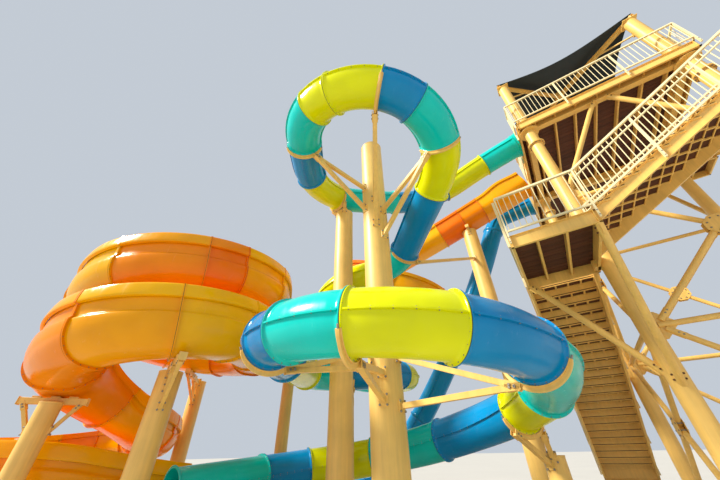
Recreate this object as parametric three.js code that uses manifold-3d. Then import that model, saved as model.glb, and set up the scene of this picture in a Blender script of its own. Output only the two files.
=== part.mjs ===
// Water slide tower: a braced steel stair tower with a shaded top deck, an aqua body-slide tube that
// winds twice round its columns, an orange open flume that ends in a big spiral, and a steep blue tube.
// Millimetres, +Z up. The origin is the foot of the tower's front left mast, with +X along the tower's
// front and +Y towards its back.
import * as THREE from "three";
import { mergeVertices } from "three/addons/utils/BufferGeometryUtils.js";
import Module from "manifold-3d";

// Driving dimensions
const SEAT_GAP = 0.3; // clearance between touching pieces
const MAST_SPACING = 4100;
const MAST_DIAMETER = 340;
const MAST_TOP = 13300;
const SPLICE_HEIGHT = 9700; // bolted flange in each mast
const ROOF_NODE_HEIGHT = 13870; // where the roof beams cross
const DECK_TOP = 10750;
const DECK_EDGE = 300; // overhang beyond the masts
const DECK_BACK = 6300;
const LANDING_HIGH = 7770;
const LANDING_MIDDLE = 5370;
const LANDING_LOW = 1000;
const STAIR_OUTER = -1800; // outer edge of the lower flight, along X
const STAIR_INNER = -240; // inner edge of the lower flight
const STAIR_FRONT = -2140; // front edge of the middle flight, along Y
const RAIL_HEIGHT = 1070;
const PLATE = 50; // deck plate
const BEAM = 300; // depth of the fascia channels
const RISER = 185;
const TUBE_RADIUS = 420;
const TUBE_WALL = 45;
const FLANGE_RADIUS = 465;
const FLANGE_LENGTH = 90;
const TUBE_SIDES = 10;
const FLUME_WALL = 45;
const RIM = { depth: 130, width: 60 }; // folded band along a flume's rim
const BEND_STEP = 30; // degrees of bend in one straight facet of a slide

// Colours of the parts
const PAINT = {
  sand: [0xe3be86, 0.5, 0.1],
  cream: [0xf0dfb0, 0.5, 0.1],
  sail: [0x1e3038, 0.9, 0.0],
  teal: [0x12b8ad, 0.25, 0.0],
  lime: [0xc6d800, 0.25, 0.0],
  blue: [0x0d6fb8, 0.25, 0.0],
  orange: [0xff9a10, 0.25, 0.0],
  yellow: [0xffc20a, 0.25, 0.0],
};

const wasm = await Module();
wasm.setup();

const tower = new THREE.Group();
tower.name = "water_slide_tower";

const at = (x, y, z) => new THREE.Vector3(x, y, z);

// A closed geometry as a solid for joining and cutting.
function solidOf(geometry) {
  const bare = geometry.clone();
  bare.deleteAttribute("normal");
  bare.deleteAttribute("uv");
  const merged = mergeVertices(bare, 1e-3);
  const solid = new wasm.Manifold(
    new wasm.Mesh({
      numProp: 3,
      vertProperties: new Float32Array(merged.attributes.position.array),
      triVerts: new Uint32Array(merged.index.array),
    }),
  );
  return solid;
}

function join(solids) {
  return solids.reduce((whole, next) => whole.add(next));
}

function geometryOf(solid) {
  const mesh = solid.getMesh();
  const geometry = new THREE.BufferGeometry();
  geometry.setAttribute("position", new THREE.BufferAttribute(mesh.vertProperties, 3));
  geometry.setIndex(new THREE.BufferAttribute(mesh.triVerts, 1));
  geometry.computeVertexNormals();
  return geometry;
}

function place(name, solid, paint) {
  const [color, roughness, metalness] = PAINT[paint];
  const material = new THREE.MeshStandardMaterial({ color, roughness, metalness });
  const mesh = new THREE.Mesh(geometryOf(solid), material);
  mesh.name = name;
  tower.add(mesh);
  return solid;
}

// A box between two opposite corners.
function box(low, high) {
  const size = high.clone().sub(low);
  const geometry = new THREE.BoxGeometry(size.x, size.y, size.z);
  const middle = low.clone().add(high).multiplyScalar(0.5);
  return solidOf(geometry.translate(middle.x, middle.y, middle.z));
}

// A square bar from one point to another, with its width level.
function bar(from, to, width, depth) {
  const along = to.clone().sub(from);
  const length = along.length();
  along.normalize();
  const upright = Math.abs(along.z) > 0.999 ? at(0, 1, 0) : at(0, 0, 1);
  const side = upright.clone().cross(along).normalize();
  const up = along.clone().cross(side);
  const middle = from.clone().add(to).multiplyScalar(0.5);
  const turn = new THREE.Matrix4().makeBasis(along, side, up).setPosition(middle);
  return solidOf(new THREE.BoxGeometry(length, width, depth).applyMatrix4(turn));
}

// A round pipe from one point to another.
function pipe(from, to, diameter, sides = 8) {
  const along = to.clone().sub(from);
  const length = along.length();
  const middle = from.clone().add(to).multiplyScalar(0.5);
  const turn = new THREE.Quaternion().setFromUnitVectors(at(0, 1, 0), along.normalize());
  const geometry = new THREE.CylinderGeometry(diameter / 2, diameter / 2, length, sides);
  return solidOf(geometry.applyQuaternion(turn).translate(middle.x, middle.y, middle.z));
}

function upright(x, y, low, high, diameter, sides = 12) {
  return pipe(at(x, y, low), at(x, y, high), diameter, sides);
}

// A route of straights and bends in plan, with a fall that changes evenly along each move. Moves are
// [length, fall] for a straight and [radius, degrees, fall] for a bend, positive to the left. Distances
// are measured level, along the plan.
class Route {
  constructor(start, heading, fall, moves) {
    this.moves = [];
    let place = { x: start[0], y: start[1], z: start[2], heading: (heading * Math.PI) / 180, fall };
    let distance = 0;
    for (const move of moves) {
      const bent = move.length === 3;
      const angle = bent ? (move[1] * Math.PI) / 180 : 0;
      const length = bent ? Math.abs(angle) * move[0] : move[0];
      const leg = { ...place, distance, length, angle, endFall: move.at(-1) };
      this.moves.push(leg);
      place = this.along(leg, length);
      distance += length;
    }
    this.length = distance;
  }

  along(leg, s) {
    const bend = leg.angle / leg.length;
    const heading = leg.heading + bend * s;
    const straight = Math.abs(bend) < 1e-9;
    const dx = straight ? Math.cos(leg.heading) * s : (Math.sin(heading) - Math.sin(leg.heading)) / bend;
    const dy = straight ? Math.sin(leg.heading) * s : (Math.cos(leg.heading) - Math.cos(heading)) / bend;
    const fall = leg.fall + ((leg.endFall - leg.fall) * s) / leg.length;
    const drop = ((leg.fall + fall) / 2) * s;
    return { x: leg.x + dx, y: leg.y + dy, z: leg.z - drop, heading, fall };
  }

  at(distance) {
    const clear = 1e-6;
    const leg = this.moves.findLast((m) => m.distance <= distance + clear) ?? this.moves[0];
    return this.along(leg, distance - leg.distance);
  }

  // Unit vectors to the left, up and forward at a distance.
  frame(distance) {
    const { heading, fall } = this.at(distance);
    const forward = at(Math.cos(heading), Math.sin(heading), -fall).normalize();
    const left = at(-Math.sin(heading), Math.cos(heading), 0);
    return { left, up: forward.clone().cross(left), forward };
  }

  // The point that lies so far to the left of and above the route.
  beside(distance, left, up) {
    const here = this.at(distance);
    const axes = this.frame(distance);
    return at(here.x, here.y, here.z).addScaledVector(axes.left, left).addScaledVector(axes.up, up);
  }

  turned(from, to) {
    let angle = 0;
    for (const leg of this.moves) {
      const shared = Math.min(to, leg.distance + leg.length) - Math.max(from, leg.distance);
      if (shared > 0) angle += Math.abs((leg.angle * shared) / leg.length);
    }
    return (angle * 180) / Math.PI;
  }
}

// A route's frames at a list of distances, as a curve whose section stays upright.
class Stretch extends THREE.Curve {
  constructor(route, distances) {
    super();
    Object.assign(this, { route, distances });
  }

  getPointAt(t, target = new THREE.Vector3()) {
    const here = this.route.at(this.distances[Math.round(t * (this.distances.length - 1))]);
    return target.set(here.x, here.y, here.z);
  }

  computeFrenetFrames() {
    const axes = this.distances.map((distance) => this.route.frame(distance));
    return {
      tangents: axes.map((a) => a.forward),
      normals: axes.map((a) => a.left),
      binormals: axes.map((a) => a.up),
    };
  }
}

// A section carried along a route through the marks, with facets enough for the bends between them.
function carry(route, marks, section) {
  const distances = [marks[0]];
  marks.slice(1).forEach((to, k) => {
    const from = marks[k];
    const facets = Math.max(1, Math.ceil(route.turned(from, to) / BEND_STEP), Math.ceil((to - from) / 2600));
    for (let n = 1; n <= facets; n += 1) distances.push(from + ((to - from) * n) / facets);
  });
  const extrudePath = new Stretch(route, distances);
  const steps = distances.length - 1;
  return solidOf(new THREE.ExtrudeGeometry(section, { steps, extrudePath, curveSegments: 1 }));
}

// A round section, as a polygon, with a bore unless the inner radius is nothing.
function roundSection(outer, inner = 0) {
  const ring = (radius) =>
    Array.from({ length: TUBE_SIDES }, (_, k) => {
      const angle = (k * 2 * Math.PI) / TUBE_SIDES;
      return new THREE.Vector2(Math.cos(angle) * radius, Math.sin(angle) * radius);
    });
  const section = new THREE.Shape(ring(outer));
  if (inner > 0) section.holes.push(new THREE.Path(ring(inner).reverse()));
  return section;
}

// One side of a flume's outline from its rim to its floor, at a distance outside the water face.
function flumeSide(flume, height, outside, side) {
  const { half, corner } = flume;
  const points = [new THREE.Vector2(side * (half + outside), height)];
  const bends = 3;
  for (let k = 0; k <= bends; k += 1) {
    const angle = (k * Math.PI) / 2 / bends;
    const x = half - corner + (corner + outside) * Math.cos(angle);
    const y = corner - (corner + outside) * Math.sin(angle);
    points.push(new THREE.Vector2(side * x, y));
  }
  return points;
}

// A folded rim band outside the top of a flume's wall.
function rimBand(flume, height, outside, side) {
  const face = flume.half + outside;
  const lip = face + RIM.width;
  return [
    new THREE.Vector2(side * lip, height),
    new THREE.Vector2(side * lip, height - RIM.depth),
    new THREE.Vector2(side * face, height - RIM.depth),
  ];
}

function flumeSection(flume) {
  const wall = FLUME_WALL;
  const inner = [
    ...flumeSide(flume, flume.left, 0, 1),
    ...flumeSide(flume, flume.right, 0, -1).reverse(),
  ];
  const outerRight = flumeSide(flume, flume.right, wall, -1).slice(1);
  const outerLeft = flumeSide(flume, flume.left, wall, 1).slice(1).reverse();
  return new THREE.Shape([
    ...inner,
    ...rimBand(flume, flume.right, wall, -1),
    ...outerRight,
    ...outerLeft,
    ...rimBand(flume, flume.left, wall, 1).reverse(),
  ]);
}

const deckSide = () => box(at(-DECK_EDGE - SEAT_GAP, -DECK_EDGE, 9000), at(0, DECK_BACK, 13000));

// A tube between two distances, with a flange at its far end and at each other distance given.
function tube(name, route, from, to, paint, flanges = []) {
  const start = from + SEAT_GAP / 2;
  const ends = [...flanges, to].map((d) => d - SEAT_GAP / 2);
  const marks = [start, ...ends.flatMap((d) => [d - FLANGE_LENGTH, d])];
  const shell = carry(route, marks, roundSection(TUBE_RADIUS, TUBE_RADIUS - TUBE_WALL));
  const collar = roundSection(FLANGE_RADIUS, TUBE_RADIUS - TUBE_WALL / 2);
  const collars = ends.map((d) => carry(route, [d - FLANGE_LENGTH, d], collar));
  const whole = join([shell, ...collars]);
  return place(name, from === 0 ? whole.subtract(deckSide()) : whole, paint);
}

// A flume between two distances, with a flat stretch over each saddle that carries it.
const SADDLE_HALF = 60;
function flume(name, route, from, to, shape, paint, saddles = []) {
  const over = saddles.flatMap((d) => [d - SADDLE_HALF, d + SADDLE_HALF]);
  const marks = [from + SEAT_GAP / 2, ...over, to - SEAT_GAP / 2];
  const whole = carry(route, marks, flumeSection(shape));
  return place(name, from === 0 ? whole.subtract(deckSide()) : whole, paint);
}

// The aqua tube
const aquaRoute = new Route([-DECK_EDGE, 850, 10950], 180, 0.15, [
  [2400, 0.33],
  [2800, 56, 0.33],
  [1800, 0.25],
  [2100, 70, 0.18],
  [950, 0.18],
  [1700, 190, 0.21],
  [2300, 0.21],
  [1300, 72, 0.23],
  [300, 0.29],
  [1300, -90, 0.45],
  [2250, 0.4],
  [1300, -90, 0.08],
  [200, 0.08],
  [1250, -180, 0.05],
  [100, 0.05],
  [1750, 94, 0.1],
  [3280, 0.1],
  [2260, 104, 0.072],
  [2820, 121, 0.213],
  [1550, 0.151],
  [2720, 95, 0.084],
  [2000, 0.08],
]);
// Where each length ends, its colour, and the flanges between its ends that a column carries
const AQUA_LENGTHS = [
  [5300, "teal"],
  [10450, "blue", [7650]],
  [15050, "lime", [13250]],
  [18550, "blue"],
  [24600, "teal"],
  [29700, "lime", [27300]],
  [35300, "blue", [31600]],
  [39950, "teal", [38250]],
  [42550, "blue"],
  [45600, "lime"],
  [50000, "blue"],
  [aquaRoute.length, "teal"],
];
let tubeStart = 0;
AQUA_LENGTHS.forEach(([end, paint, flanges], k) => {
  tube(`aqua_tube_${String(k + 1).padStart(2, "0")}`, aquaRoute, tubeStart, end, paint, flanges);
  tubeStart = end;
});

// The orange flume, with higher outer walls where it winds down the spiral
const flumeRoute = new Route([-DECK_EDGE, 3650, 10800], 180, 0.3, [
  [6900, 0.24],
  [1290, 182, 0.69],
  [970, 0.69],
  [1165, 126, 0.06],
  [1150, 84, 0.02],
  [3000, 0.02],
  [2100, 100, 0.02],
  [1000, 0.08],
  [2250, -189, 0.13],
  [150, 0.13],
  [2150, -172, 0.1],
  [1100, 0.1],
  [1850, -142, 0.17],
  [1850, -79, 0.42],
  [1850, 60, 0.1],
  [1850, 258, 0.04],
  [1850, 30, 0.2],
  [2300, 0.12],
]);
const FLUME_NARROW = { half: 580, corner: 400, left: 880, right: 880 };
const FLUME_SPIRAL = { half: 650, corner: 570, left: 1320, right: 850 };
const FLUME_RUNOUT = { half: 650, corner: 500, left: 900, right: 900 };
// Where each length ends, its section, its colour, and the distances that are carried from below
const FLUME_LENGTHS = [
  [4600, FLUME_NARROW, "orange", [2950]],
  [10200, FLUME_NARROW, "yellow"],
  [16300, FLUME_NARROW, "orange", [13600]],
  [22900, FLUME_NARROW, "yellow", [21000]],
  [27700, FLUME_SPIRAL, "orange"],
  [33400, FLUME_SPIRAL, "yellow"],
  [39000, FLUME_SPIRAL, "orange", [34300]],
  [45200, FLUME_SPIRAL, "yellow", [41000, 44400]],
  [51800, FLUME_RUNOUT, "orange", [48800]],
  [flumeRoute.length, FLUME_RUNOUT, "yellow", [55000]],
];
let flumeStart = 0;
FLUME_LENGTHS.forEach(([end, shape, paint, saddles], k) => {
  const name = `orange_flume_${String(k + 1).padStart(2, "0")}`;
  flume(name, flumeRoute, flumeStart, end, shape, paint, saddles);
  flumeStart = end;
});

// The steep blue tube
const steepRoute = new Route([-DECK_EDGE, 5450, 11350], 184, 0.1, [
  [1350, 0.13],
  [800, 1.95],
  [4950, 1.17],
  [1000, 0.98],
  [1450, 0.12],
  [3000, 0.05],
]);
tube("steep_tube_upper", steepRoute, 0, 4600, "blue", [2150]);
tube("steep_tube_lower", steepRoute, 4600, steepRoute.length, "blue", [7100, 9550]);

// Masts
const MASTS = {
  front_left: [0, 0],
  front_right: [MAST_SPACING, 0],
  back_left: [0, MAST_SPACING],
  back_right: [MAST_SPACING, MAST_SPACING],
};
const BASE_HALF = 350;
const BASE_THICKNESS = 40;
const mastSpaces = join(
  Object.values(MASTS).map(([x, y]) => upright(x, y, -1, MAST_TOP + 600, MAST_DIAMETER + 2 * SEAT_GAP)),
);
for (const [name, [x, y]] of Object.entries(MASTS)) {
  const base = box(at(x - BASE_HALF, y - BASE_HALF, 0), at(x + BASE_HALF, y + BASE_HALF, BASE_THICKNESS));
  const splice = upright(x, y, SPLICE_HEIGHT - 30, SPLICE_HEIGHT + 30, MAST_DIAMETER + 150);
  place(`mast_${name}`, join([base, upright(x, y, 1, MAST_TOP, MAST_DIAMETER), splice]), "sand");
}

// Decks: a plate on a frame of channels and joists
function deck(lowX, highX, lowY, highY, top) {
  const rim = 60;
  const under = top - BEAM;
  const plate = box(at(lowX, lowY, top - PLATE), at(highX, highY, top));
  const frame = [
    box(at(lowX, lowY, under), at(highX, lowY + rim, top)),
    box(at(lowX, highY - rim, under), at(highX, highY, top)),
    box(at(lowX, lowY, under), at(lowX + rim, highY, top)),
    box(at(highX - rim, lowY, under), at(highX, highY, top)),
  ];
  return join([plate, ...frame]);
}

const KNEE = 140;
const deckRight = MAST_SPACING + DECK_EDGE;
const stairRight = 5900;
const kneeFoot = 7400;
const kneeHead = DECK_TOP - BEAM + 40;
const flightTop = 5200; // where the top flight reaches the deck, along Y
// The frame on the deck that the steep tube starts from
function startFrame(y, z) {
  const half = 560;
  const bore = 2 * (TUBE_RADIUS - TUBE_WALL);
  const panel = box(at(-DECK_EDGE, y - half, DECK_TOP - 20), at(-DECK_EDGE + 60, y + half, z + half));
  return panel.subtract(pipe(at(-DECK_EDGE - 50, y, z), at(-DECK_EDGE + 110, y, z), bore, TUBE_SIDES));
}
const deckBeam = (lowX, lowY, highX, highY) =>
  box(at(lowX, lowY, DECK_TOP - BEAM - 60), at(highX, highY, DECK_TOP - PLATE / 2));
const topDeck = join([
  deck(-DECK_EDGE, deckRight, -DECK_EDGE, DECK_BACK, DECK_TOP),
  deck(deckRight - 60, stairRight, flightTop, DECK_BACK, DECK_TOP),
  pipe(at(0, 0, kneeFoot), at(1900, 0, kneeHead), KNEE),
  pipe(at(MAST_SPACING, 0, kneeFoot), at(2200, 0, kneeHead), KNEE),
  pipe(at(0, MAST_SPACING, kneeFoot), at(0, DECK_BACK - 200, kneeHead), KNEE),
  pipe(at(MAST_SPACING, MAST_SPACING, kneeFoot), at(MAST_SPACING, DECK_BACK - 200, kneeHead), KNEE),
  startFrame(5450, 11350),
  deckBeam(-100, -100, MAST_SPACING + 100, 100),
  deckBeam(-100, MAST_SPACING - 100, MAST_SPACING + 100, MAST_SPACING + 100),
  deckBeam(-100, 0, 100, DECK_BACK - 100),
  deckBeam(MAST_SPACING - 100, 0, MAST_SPACING + 100, DECK_BACK - 100),
]).subtract(mastSpaces);
place("top_deck", topDeck, "sand");

const landingRight = -MAST_DIAMETER / 2 - SEAT_GAP;
const landingBack = 250;
const landingMiddle = join([
  deck(STAIR_OUTER, landingRight, STAIR_FRONT, landingBack, LANDING_MIDDLE),
  box(at(-400, -100, LANDING_MIDDLE - BEAM), at(landingRight, 100, LANDING_MIDDLE - 100)),
  pipe(at(-60, 0, 2640), at(STAIR_OUTER + 80, 150, LANDING_MIDDLE - BEAM + 40), KNEE),
  pipe(at(0, -60, 2430), at(landingRight - 60, STAIR_FRONT + 80, LANDING_MIDDLE - BEAM + 40), KNEE),
]).subtract(mastSpaces);
place("landing_middle", landingMiddle, "sand");

const rightKnee = (size) => pipe(at(MAST_SPACING, 0, kneeFoot), at(2200, 0, kneeHead), size);
const landingHigh = join([
  deck(3900, stairRight, STAIR_FRONT, 200, LANDING_HIGH),
  pipe(at(MAST_SPACING + 60, 0, 5200), at(stairRight - 80, 100, LANDING_HIGH - BEAM + 40), KNEE),
  pipe(at(MAST_SPACING, -60, 4900), at(MAST_SPACING, STAIR_FRONT + 80, LANDING_HIGH - BEAM + 40), KNEE),
])
  .subtract(mastSpaces)
  .subtract(rightKnee(KNEE + 4 * SEAT_GAP));
place("landing_high", landingHigh, "sand");

// Flights: steps as one saw-toothed slab between two stringers. A flight runs along one axis from its
// foot to its head.
function flight({ axis, foot, head, sides, low, high }) {
  const stringer = { width: 60, above: 35, below: 255 };
  const waist = 110;
  const rises = Math.round((high - low) / RISER);
  const rise = (high - low) / rises;
  const run = Math.abs(head - foot);
  const going = run / rises;
  const outline = [new THREE.Vector2(0, 0)];
  for (let k = 0; k < rises - 1; k += 1) {
    outline.push(new THREE.Vector2(going * k, rise * (k + 1)));
    outline.push(new THREE.Vector2(going * (k + 1), rise * (k + 1)));
  }
  const slope = (high - low) / run;
  const edge = (x, lift) => new THREE.Vector2(x, slope * x + lift);
  outline.push(edge(run, -rise - waist), edge(0, -waist));
  const plank = new THREE.Shape([
    edge(0, stringer.above),
    edge(0, -stringer.below),
    edge(run, -stringer.below),
    edge(run, stringer.above - rise),
    edge(run - 250, stringer.above),
  ]);
  const slab = (shape, from, to) => {
    const geometry = new THREE.ExtrudeGeometry(shape, { depth: to - from, bevelEnabled: false });
    geometry.translate(0, 0, from);
    const turn = new THREE.Matrix4();
    const along = Math.sign(head - foot);
    if (axis === "x") turn.makeBasis(at(along, 0, 0), at(0, 0, 1), at(0, -along, 0));
    else turn.makeBasis(at(0, along, 0), at(0, 0, 1), at(along, 0, 0));
    turn.setPosition(axis === "x" ? at(foot, 0, low) : at(0, foot, low));
    return solidOf(geometry.applyMatrix4(turn));
  };
  const flip = axis === "x" ? -Math.sign(head - foot) : Math.sign(head - foot);
  const [near, far] = sides.map((side) => side * flip).sort((a, b) => a - b);
  return join([
    slab(new THREE.Shape(outline), near + stringer.width / 2, far - stringer.width / 2),
    slab(plank, near, near + stringer.width),
    slab(plank, far - stringer.width, far),
  ]);
}

const FLIGHT_LOW = {
  axis: "y",
  foot: 7600,
  head: landingBack + SEAT_GAP,
  sides: [STAIR_OUTER, STAIR_INNER],
  low: LANDING_LOW,
  high: LANDING_MIDDLE,
};
const FLIGHT_MIDDLE = {
  axis: "x",
  foot: landingRight + SEAT_GAP,
  head: 3900 - SEAT_GAP,
  sides: [STAIR_FRONT, -500],
  low: LANDING_MIDDLE,
  high: LANDING_HIGH,
};
const HIGH_INNER = 4480; // inner edge of the upper flight
const FLIGHT_HIGH = {
  axis: "y",
  foot: 200 + SEAT_GAP,
  head: flightTop - SEAT_GAP,
  sides: [HIGH_INNER, stairRight],
  low: LANDING_HIGH,
  high: DECK_TOP,
};
place("flight_low", flight(FLIGHT_LOW), "sand");
place("flight_middle", flight(FLIGHT_MIDDLE), "sand");
place("flight_high", flight(FLIGHT_HIGH), "sand");

// Railings: posts and a top rail along a line of points on the deck or the nosings
function railing(points, { drop = 220 } = {}) {
  const post = 60;
  const bay = 2150;
  const up = (p, z) => p.clone().add(at(0, 0, z));
  const parts = [];
  points.slice(1).forEach((to, k) => {
    const from = points[k];
    const run = to.clone().sub(from);
    const bays = Math.max(1, Math.round(run.length() / bay));
    for (let n = k === 0 ? 0 : 1; n <= bays; n += 1) {
      const foot = from.clone().addScaledVector(run, n / bays);
      parts.push(bar(up(foot, -drop), up(foot, RAIL_HEIGHT), post, post));
    }
    parts.push(bar(up(from, RAIL_HEIGHT), up(to, RAIL_HEIGHT), post, post));
  });
  return join(parts);
}

const OUT = 30 + SEAT_GAP; // a rail post's centre beyond the edge that it is bolted to
const railLine = (...points) => points.map(([x, y, z]) => at(x, y, z));
place(
  "railing_lower_outer",
  railing(
    railLine(
      [STAIR_OUTER - OUT, STAIR_FRONT + 90, LANDING_MIDDLE],
      [STAIR_OUTER - OUT, landingBack, LANDING_MIDDLE],
      [STAIR_OUTER - OUT, 7560, LANDING_LOW + 60],
    ),
  ),
  "cream",
);
place(
  "railing_lower_inner",
  railing(
    railLine(
      [STAIR_INNER + OUT, 420, LANDING_MIDDLE - 60],
      [STAIR_INNER + OUT, 7560, LANDING_LOW + 60],
    ),
  ),
  "cream",
);
place(
  "railing_middle_outer",
  railing(
    railLine(
      [STAIR_OUTER + 30, STAIR_FRONT - OUT, LANDING_MIDDLE],
      [landingRight, STAIR_FRONT - OUT, LANDING_MIDDLE],
      [3900, STAIR_FRONT - OUT, LANDING_HIGH],
      [stairRight - 90, STAIR_FRONT - OUT, LANDING_HIGH],
    ),
  ),
  "cream",
);
place(
  "railing_middle_inner",
  railing(railLine([40, -500 + OUT, LANDING_MIDDLE + 120], [3840, -500 + OUT, LANDING_HIGH - 60])),
  "cream",
);
place(
  "railing_high_outer",
  railing(
    railLine(
      [stairRight + OUT, STAIR_FRONT + 30, LANDING_HIGH],
      [stairRight + OUT, 200, LANDING_HIGH],
      [stairRight + OUT, flightTop, DECK_TOP],
      [stairRight + OUT, DECK_BACK - 90, DECK_TOP],
    ),
  ),
  "cream",
);
place(
  "railing_high_inner",
  railing(
    railLine(
      [HIGH_INNER - OUT, 300, LANDING_HIGH + 80],
      [HIGH_INNER - OUT, flightTop - 120, DECK_TOP - 60],
    ),
    { drop: 120 },
  ),
  "cream",
);
place(
  "railing_top_front",
  railing(
    railLine(
      [-DECK_EDGE - OUT, 250, DECK_TOP],
      [-DECK_EDGE - OUT, -DECK_EDGE - OUT, DECK_TOP],
      [deckRight + OUT, -DECK_EDGE - OUT, DECK_TOP],
      [deckRight + OUT, 150, DECK_TOP],
    ),
  ),
  "cream",
);
place(
  "railing_top_left",
  railing(railLine([-DECK_EDGE - OUT, 1480, DECK_TOP], [-DECK_EDGE - OUT, 2880, DECK_TOP])),
  "cream",
);
place(
  "railing_top_back",
  railing(
    railLine(
      [stairRight - 90, DECK_BACK + OUT, DECK_TOP],
      [-DECK_EDGE + 30, DECK_BACK + OUT, DECK_TOP],
    ),
  ),
  "cream",
);

// The low landing on four legs and the short flight to the ground, with their own rails
const lowBack = 9000;
const lowLegs = [
  [STAIR_OUTER + 60, 7700],
  [STAIR_INNER - 60, 7700],
  [STAIR_OUTER + 60, lowBack - 60],
  [STAIR_INNER - 60, lowBack - 60],
].map(([x, y]) => box(at(x - 60, y - 60, 0), at(x + 60, y + 60, LANDING_LOW - 100)));
const groundFlight = flight({
  axis: "y",
  foot: 10560,
  head: lowBack - 30,
  sides: [STAIR_OUTER, STAIR_INNER],
  low: 0,
  high: LANDING_LOW,
}).subtract(box(at(-3000, 8000, -900), at(1000, 11500, 0)));
place(
  "landing_low",
  join([deck(STAIR_OUTER, STAIR_INNER, 7600 + SEAT_GAP, lowBack, LANDING_LOW), ...lowLegs, groundFlight]),
  "sand",
);

// Bracing: pipes in each face of the tower, between the masts
function bracing(from, to) {
  const size = 114;
  const levels = [300, 3600, 7200];
  const inset = MAST_DIAMETER / 2 - 20;
  const along = at(...to, 0).sub(at(...from, 0)).normalize();
  const near = (z) => at(...from, z).addScaledVector(along, inset);
  const far = (z) => at(...to, z).addScaledVector(along, -inset);
  const parts = levels.slice(1).flatMap((high, k) => [
    pipe(near(high), far(high), size, 6),
    pipe(near(levels[k]), far(high), size, 6),
    pipe(far(levels[k]), near(high), size, 6),
  ]);
  return join(parts).subtract(mastSpaces);
}
place("bracing_front", bracing([0, 0], [MAST_SPACING, 0]), "sand");
place("bracing_back", bracing([0, MAST_SPACING], [MAST_SPACING, MAST_SPACING]), "sand");
place("bracing_left", bracing([0, 0], [0, MAST_SPACING]), "sand");
place("bracing_right", bracing([MAST_SPACING, 0], [MAST_SPACING, MAST_SPACING]), "sand");

// The roof: crossed beams on the mast heads, with a shade sail stretched over them
const MIDDLE = MAST_SPACING / 2;
const SAIL_HALF = MIDDLE + 150;
const SAIL_CORNER = MAST_TOP + 250; // underside of the sail at its corners
const SAIL_RISE = 480; // of its middle over its corners
const SAIL_THICKNESS = 30;
const SAIL_DRAW = 0.16; // how far each edge is drawn in, as a part of the half width
const BEAM_HALF = 75;
const sailUnder = (fromMiddle) => SAIL_CORNER + SAIL_RISE * (1 - fromMiddle / SAIL_HALF);
const beamEnd = MAST_TOP + 90;
const roofParts = Object.values(MASTS).flatMap(([x, y]) => {
  const [outX, outY] = [Math.sign(x - MIDDLE), Math.sign(y - MIDDLE)];
  const [cornerX, cornerY] = [MIDDLE + outX * SAIL_HALF, MIDDLE + outY * SAIL_HALF];
  const inner = at(cornerX - outX * 80, cornerY - outY * 80, beamEnd);
  const outer = at(cornerX - outX * 30, cornerY - outY * 30, sailUnder(SAIL_HALF - 30) - 4);
  return [
    bar(at(cornerX, cornerY, beamEnd), at(MIDDLE, MIDDLE, ROOF_NODE_HEIGHT), 120, 2 * BEAM_HALF),
    box(at(x - 200, y - 200, MAST_TOP + SEAT_GAP), at(x + 200, y + 200, MAST_TOP + 60)),
    box(
      at(Math.min(inner.x, outer.x), Math.min(inner.y, outer.y), inner.z),
      at(Math.max(inner.x, outer.x), Math.max(inner.y, outer.y), outer.z),
    ),
  ];
});
const padHalf = 80;
const padTop = sailUnder(padHalf) - 3 * SEAT_GAP;
const pad = box(
  at(MIDDLE - padHalf, MIDDLE - padHalf, ROOF_NODE_HEIGHT - BEAM_HALF),
  at(MIDDLE + padHalf, MIDDLE + padHalf, padTop),
);
place("roof_beams", join([...roofParts, pad]), "sand");

// The sail is a low pyramid: rings about its middle, squared off, with their edges drawn in.
function sail() {
  const rings = [0, 0.25, 0.5, 0.75, 1];
  const profile = [
    ...rings.map((r) => new THREE.Vector2(r, 0)),
    ...rings.toReversed().map((r) => new THREE.Vector2(r, SAIL_THICKNESS)),
  ];
  const geometry = new THREE.LatheGeometry(profile, 16);
  geometry.rotateX(Math.PI / 2);
  const p = geometry.attributes.position;
  for (let k = 0; k < p.count; k += 1) {
    const [x, y, z] = [p.getX(k), p.getY(k), p.getZ(k)];
    const ring = Math.hypot(x, y);
    const reach = Math.max(Math.abs(x), Math.abs(y), 1e-9);
    const alongEdge = Math.min(Math.abs(x), Math.abs(y)) / reach;
    const half = SAIL_HALF * ring * (1 - SAIL_DRAW * ring * (1 - alongEdge ** 2));
    const height = sailUnder(ring * SAIL_HALF) + z;
    p.setXYZ(k, MIDDLE + (x / reach) * half, MIDDLE + (y / reach) * half, height);
  }
  return solidOf(geometry);
}
place("shade_sail", sail(), "sail");

// Supports of the slides: columns with arms that end in cradles round the flanges' lower halves
const CRADLE_DEPTH = 90;
function cradle(route, distance) {
  const ring = (radius) =>
    Array.from({ length: TUBE_SIDES / 2 + 1 }, (_, k) => {
      const angle = Math.PI + (k * 2 * Math.PI) / TUBE_SIDES;
      return new THREE.Vector2(Math.cos(angle) * radius, Math.sin(angle) * radius);
    });
  const inner = FLANGE_RADIUS + SEAT_GAP / Math.cos(Math.PI / TUBE_SIDES);
  const section = new THREE.Shape([...ring(inner + CRADLE_DEPTH), ...ring(inner).reverse()]);
  const end = distance - SEAT_GAP / 2;
  return carry(route, [end - FLANGE_LENGTH, end], section);
}

// A strut from a point to a cradle, on its lower left or lower right.
const STRUT_SIZE = 90;
function strut(route, distance, from, side = 1) {
  const reach = FLANGE_RADIUS + CRADLE_DEPTH * 0.85;
  const angle = (54 * Math.PI) / 180;
  const end = route.beside(
    distance - FLANGE_LENGTH / 2,
    side * reach * Math.cos(angle),
    -reach * Math.sin(angle),
  );
  return bar(from, end, STRUT_SIZE, STRUT_SIZE);
}

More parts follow.
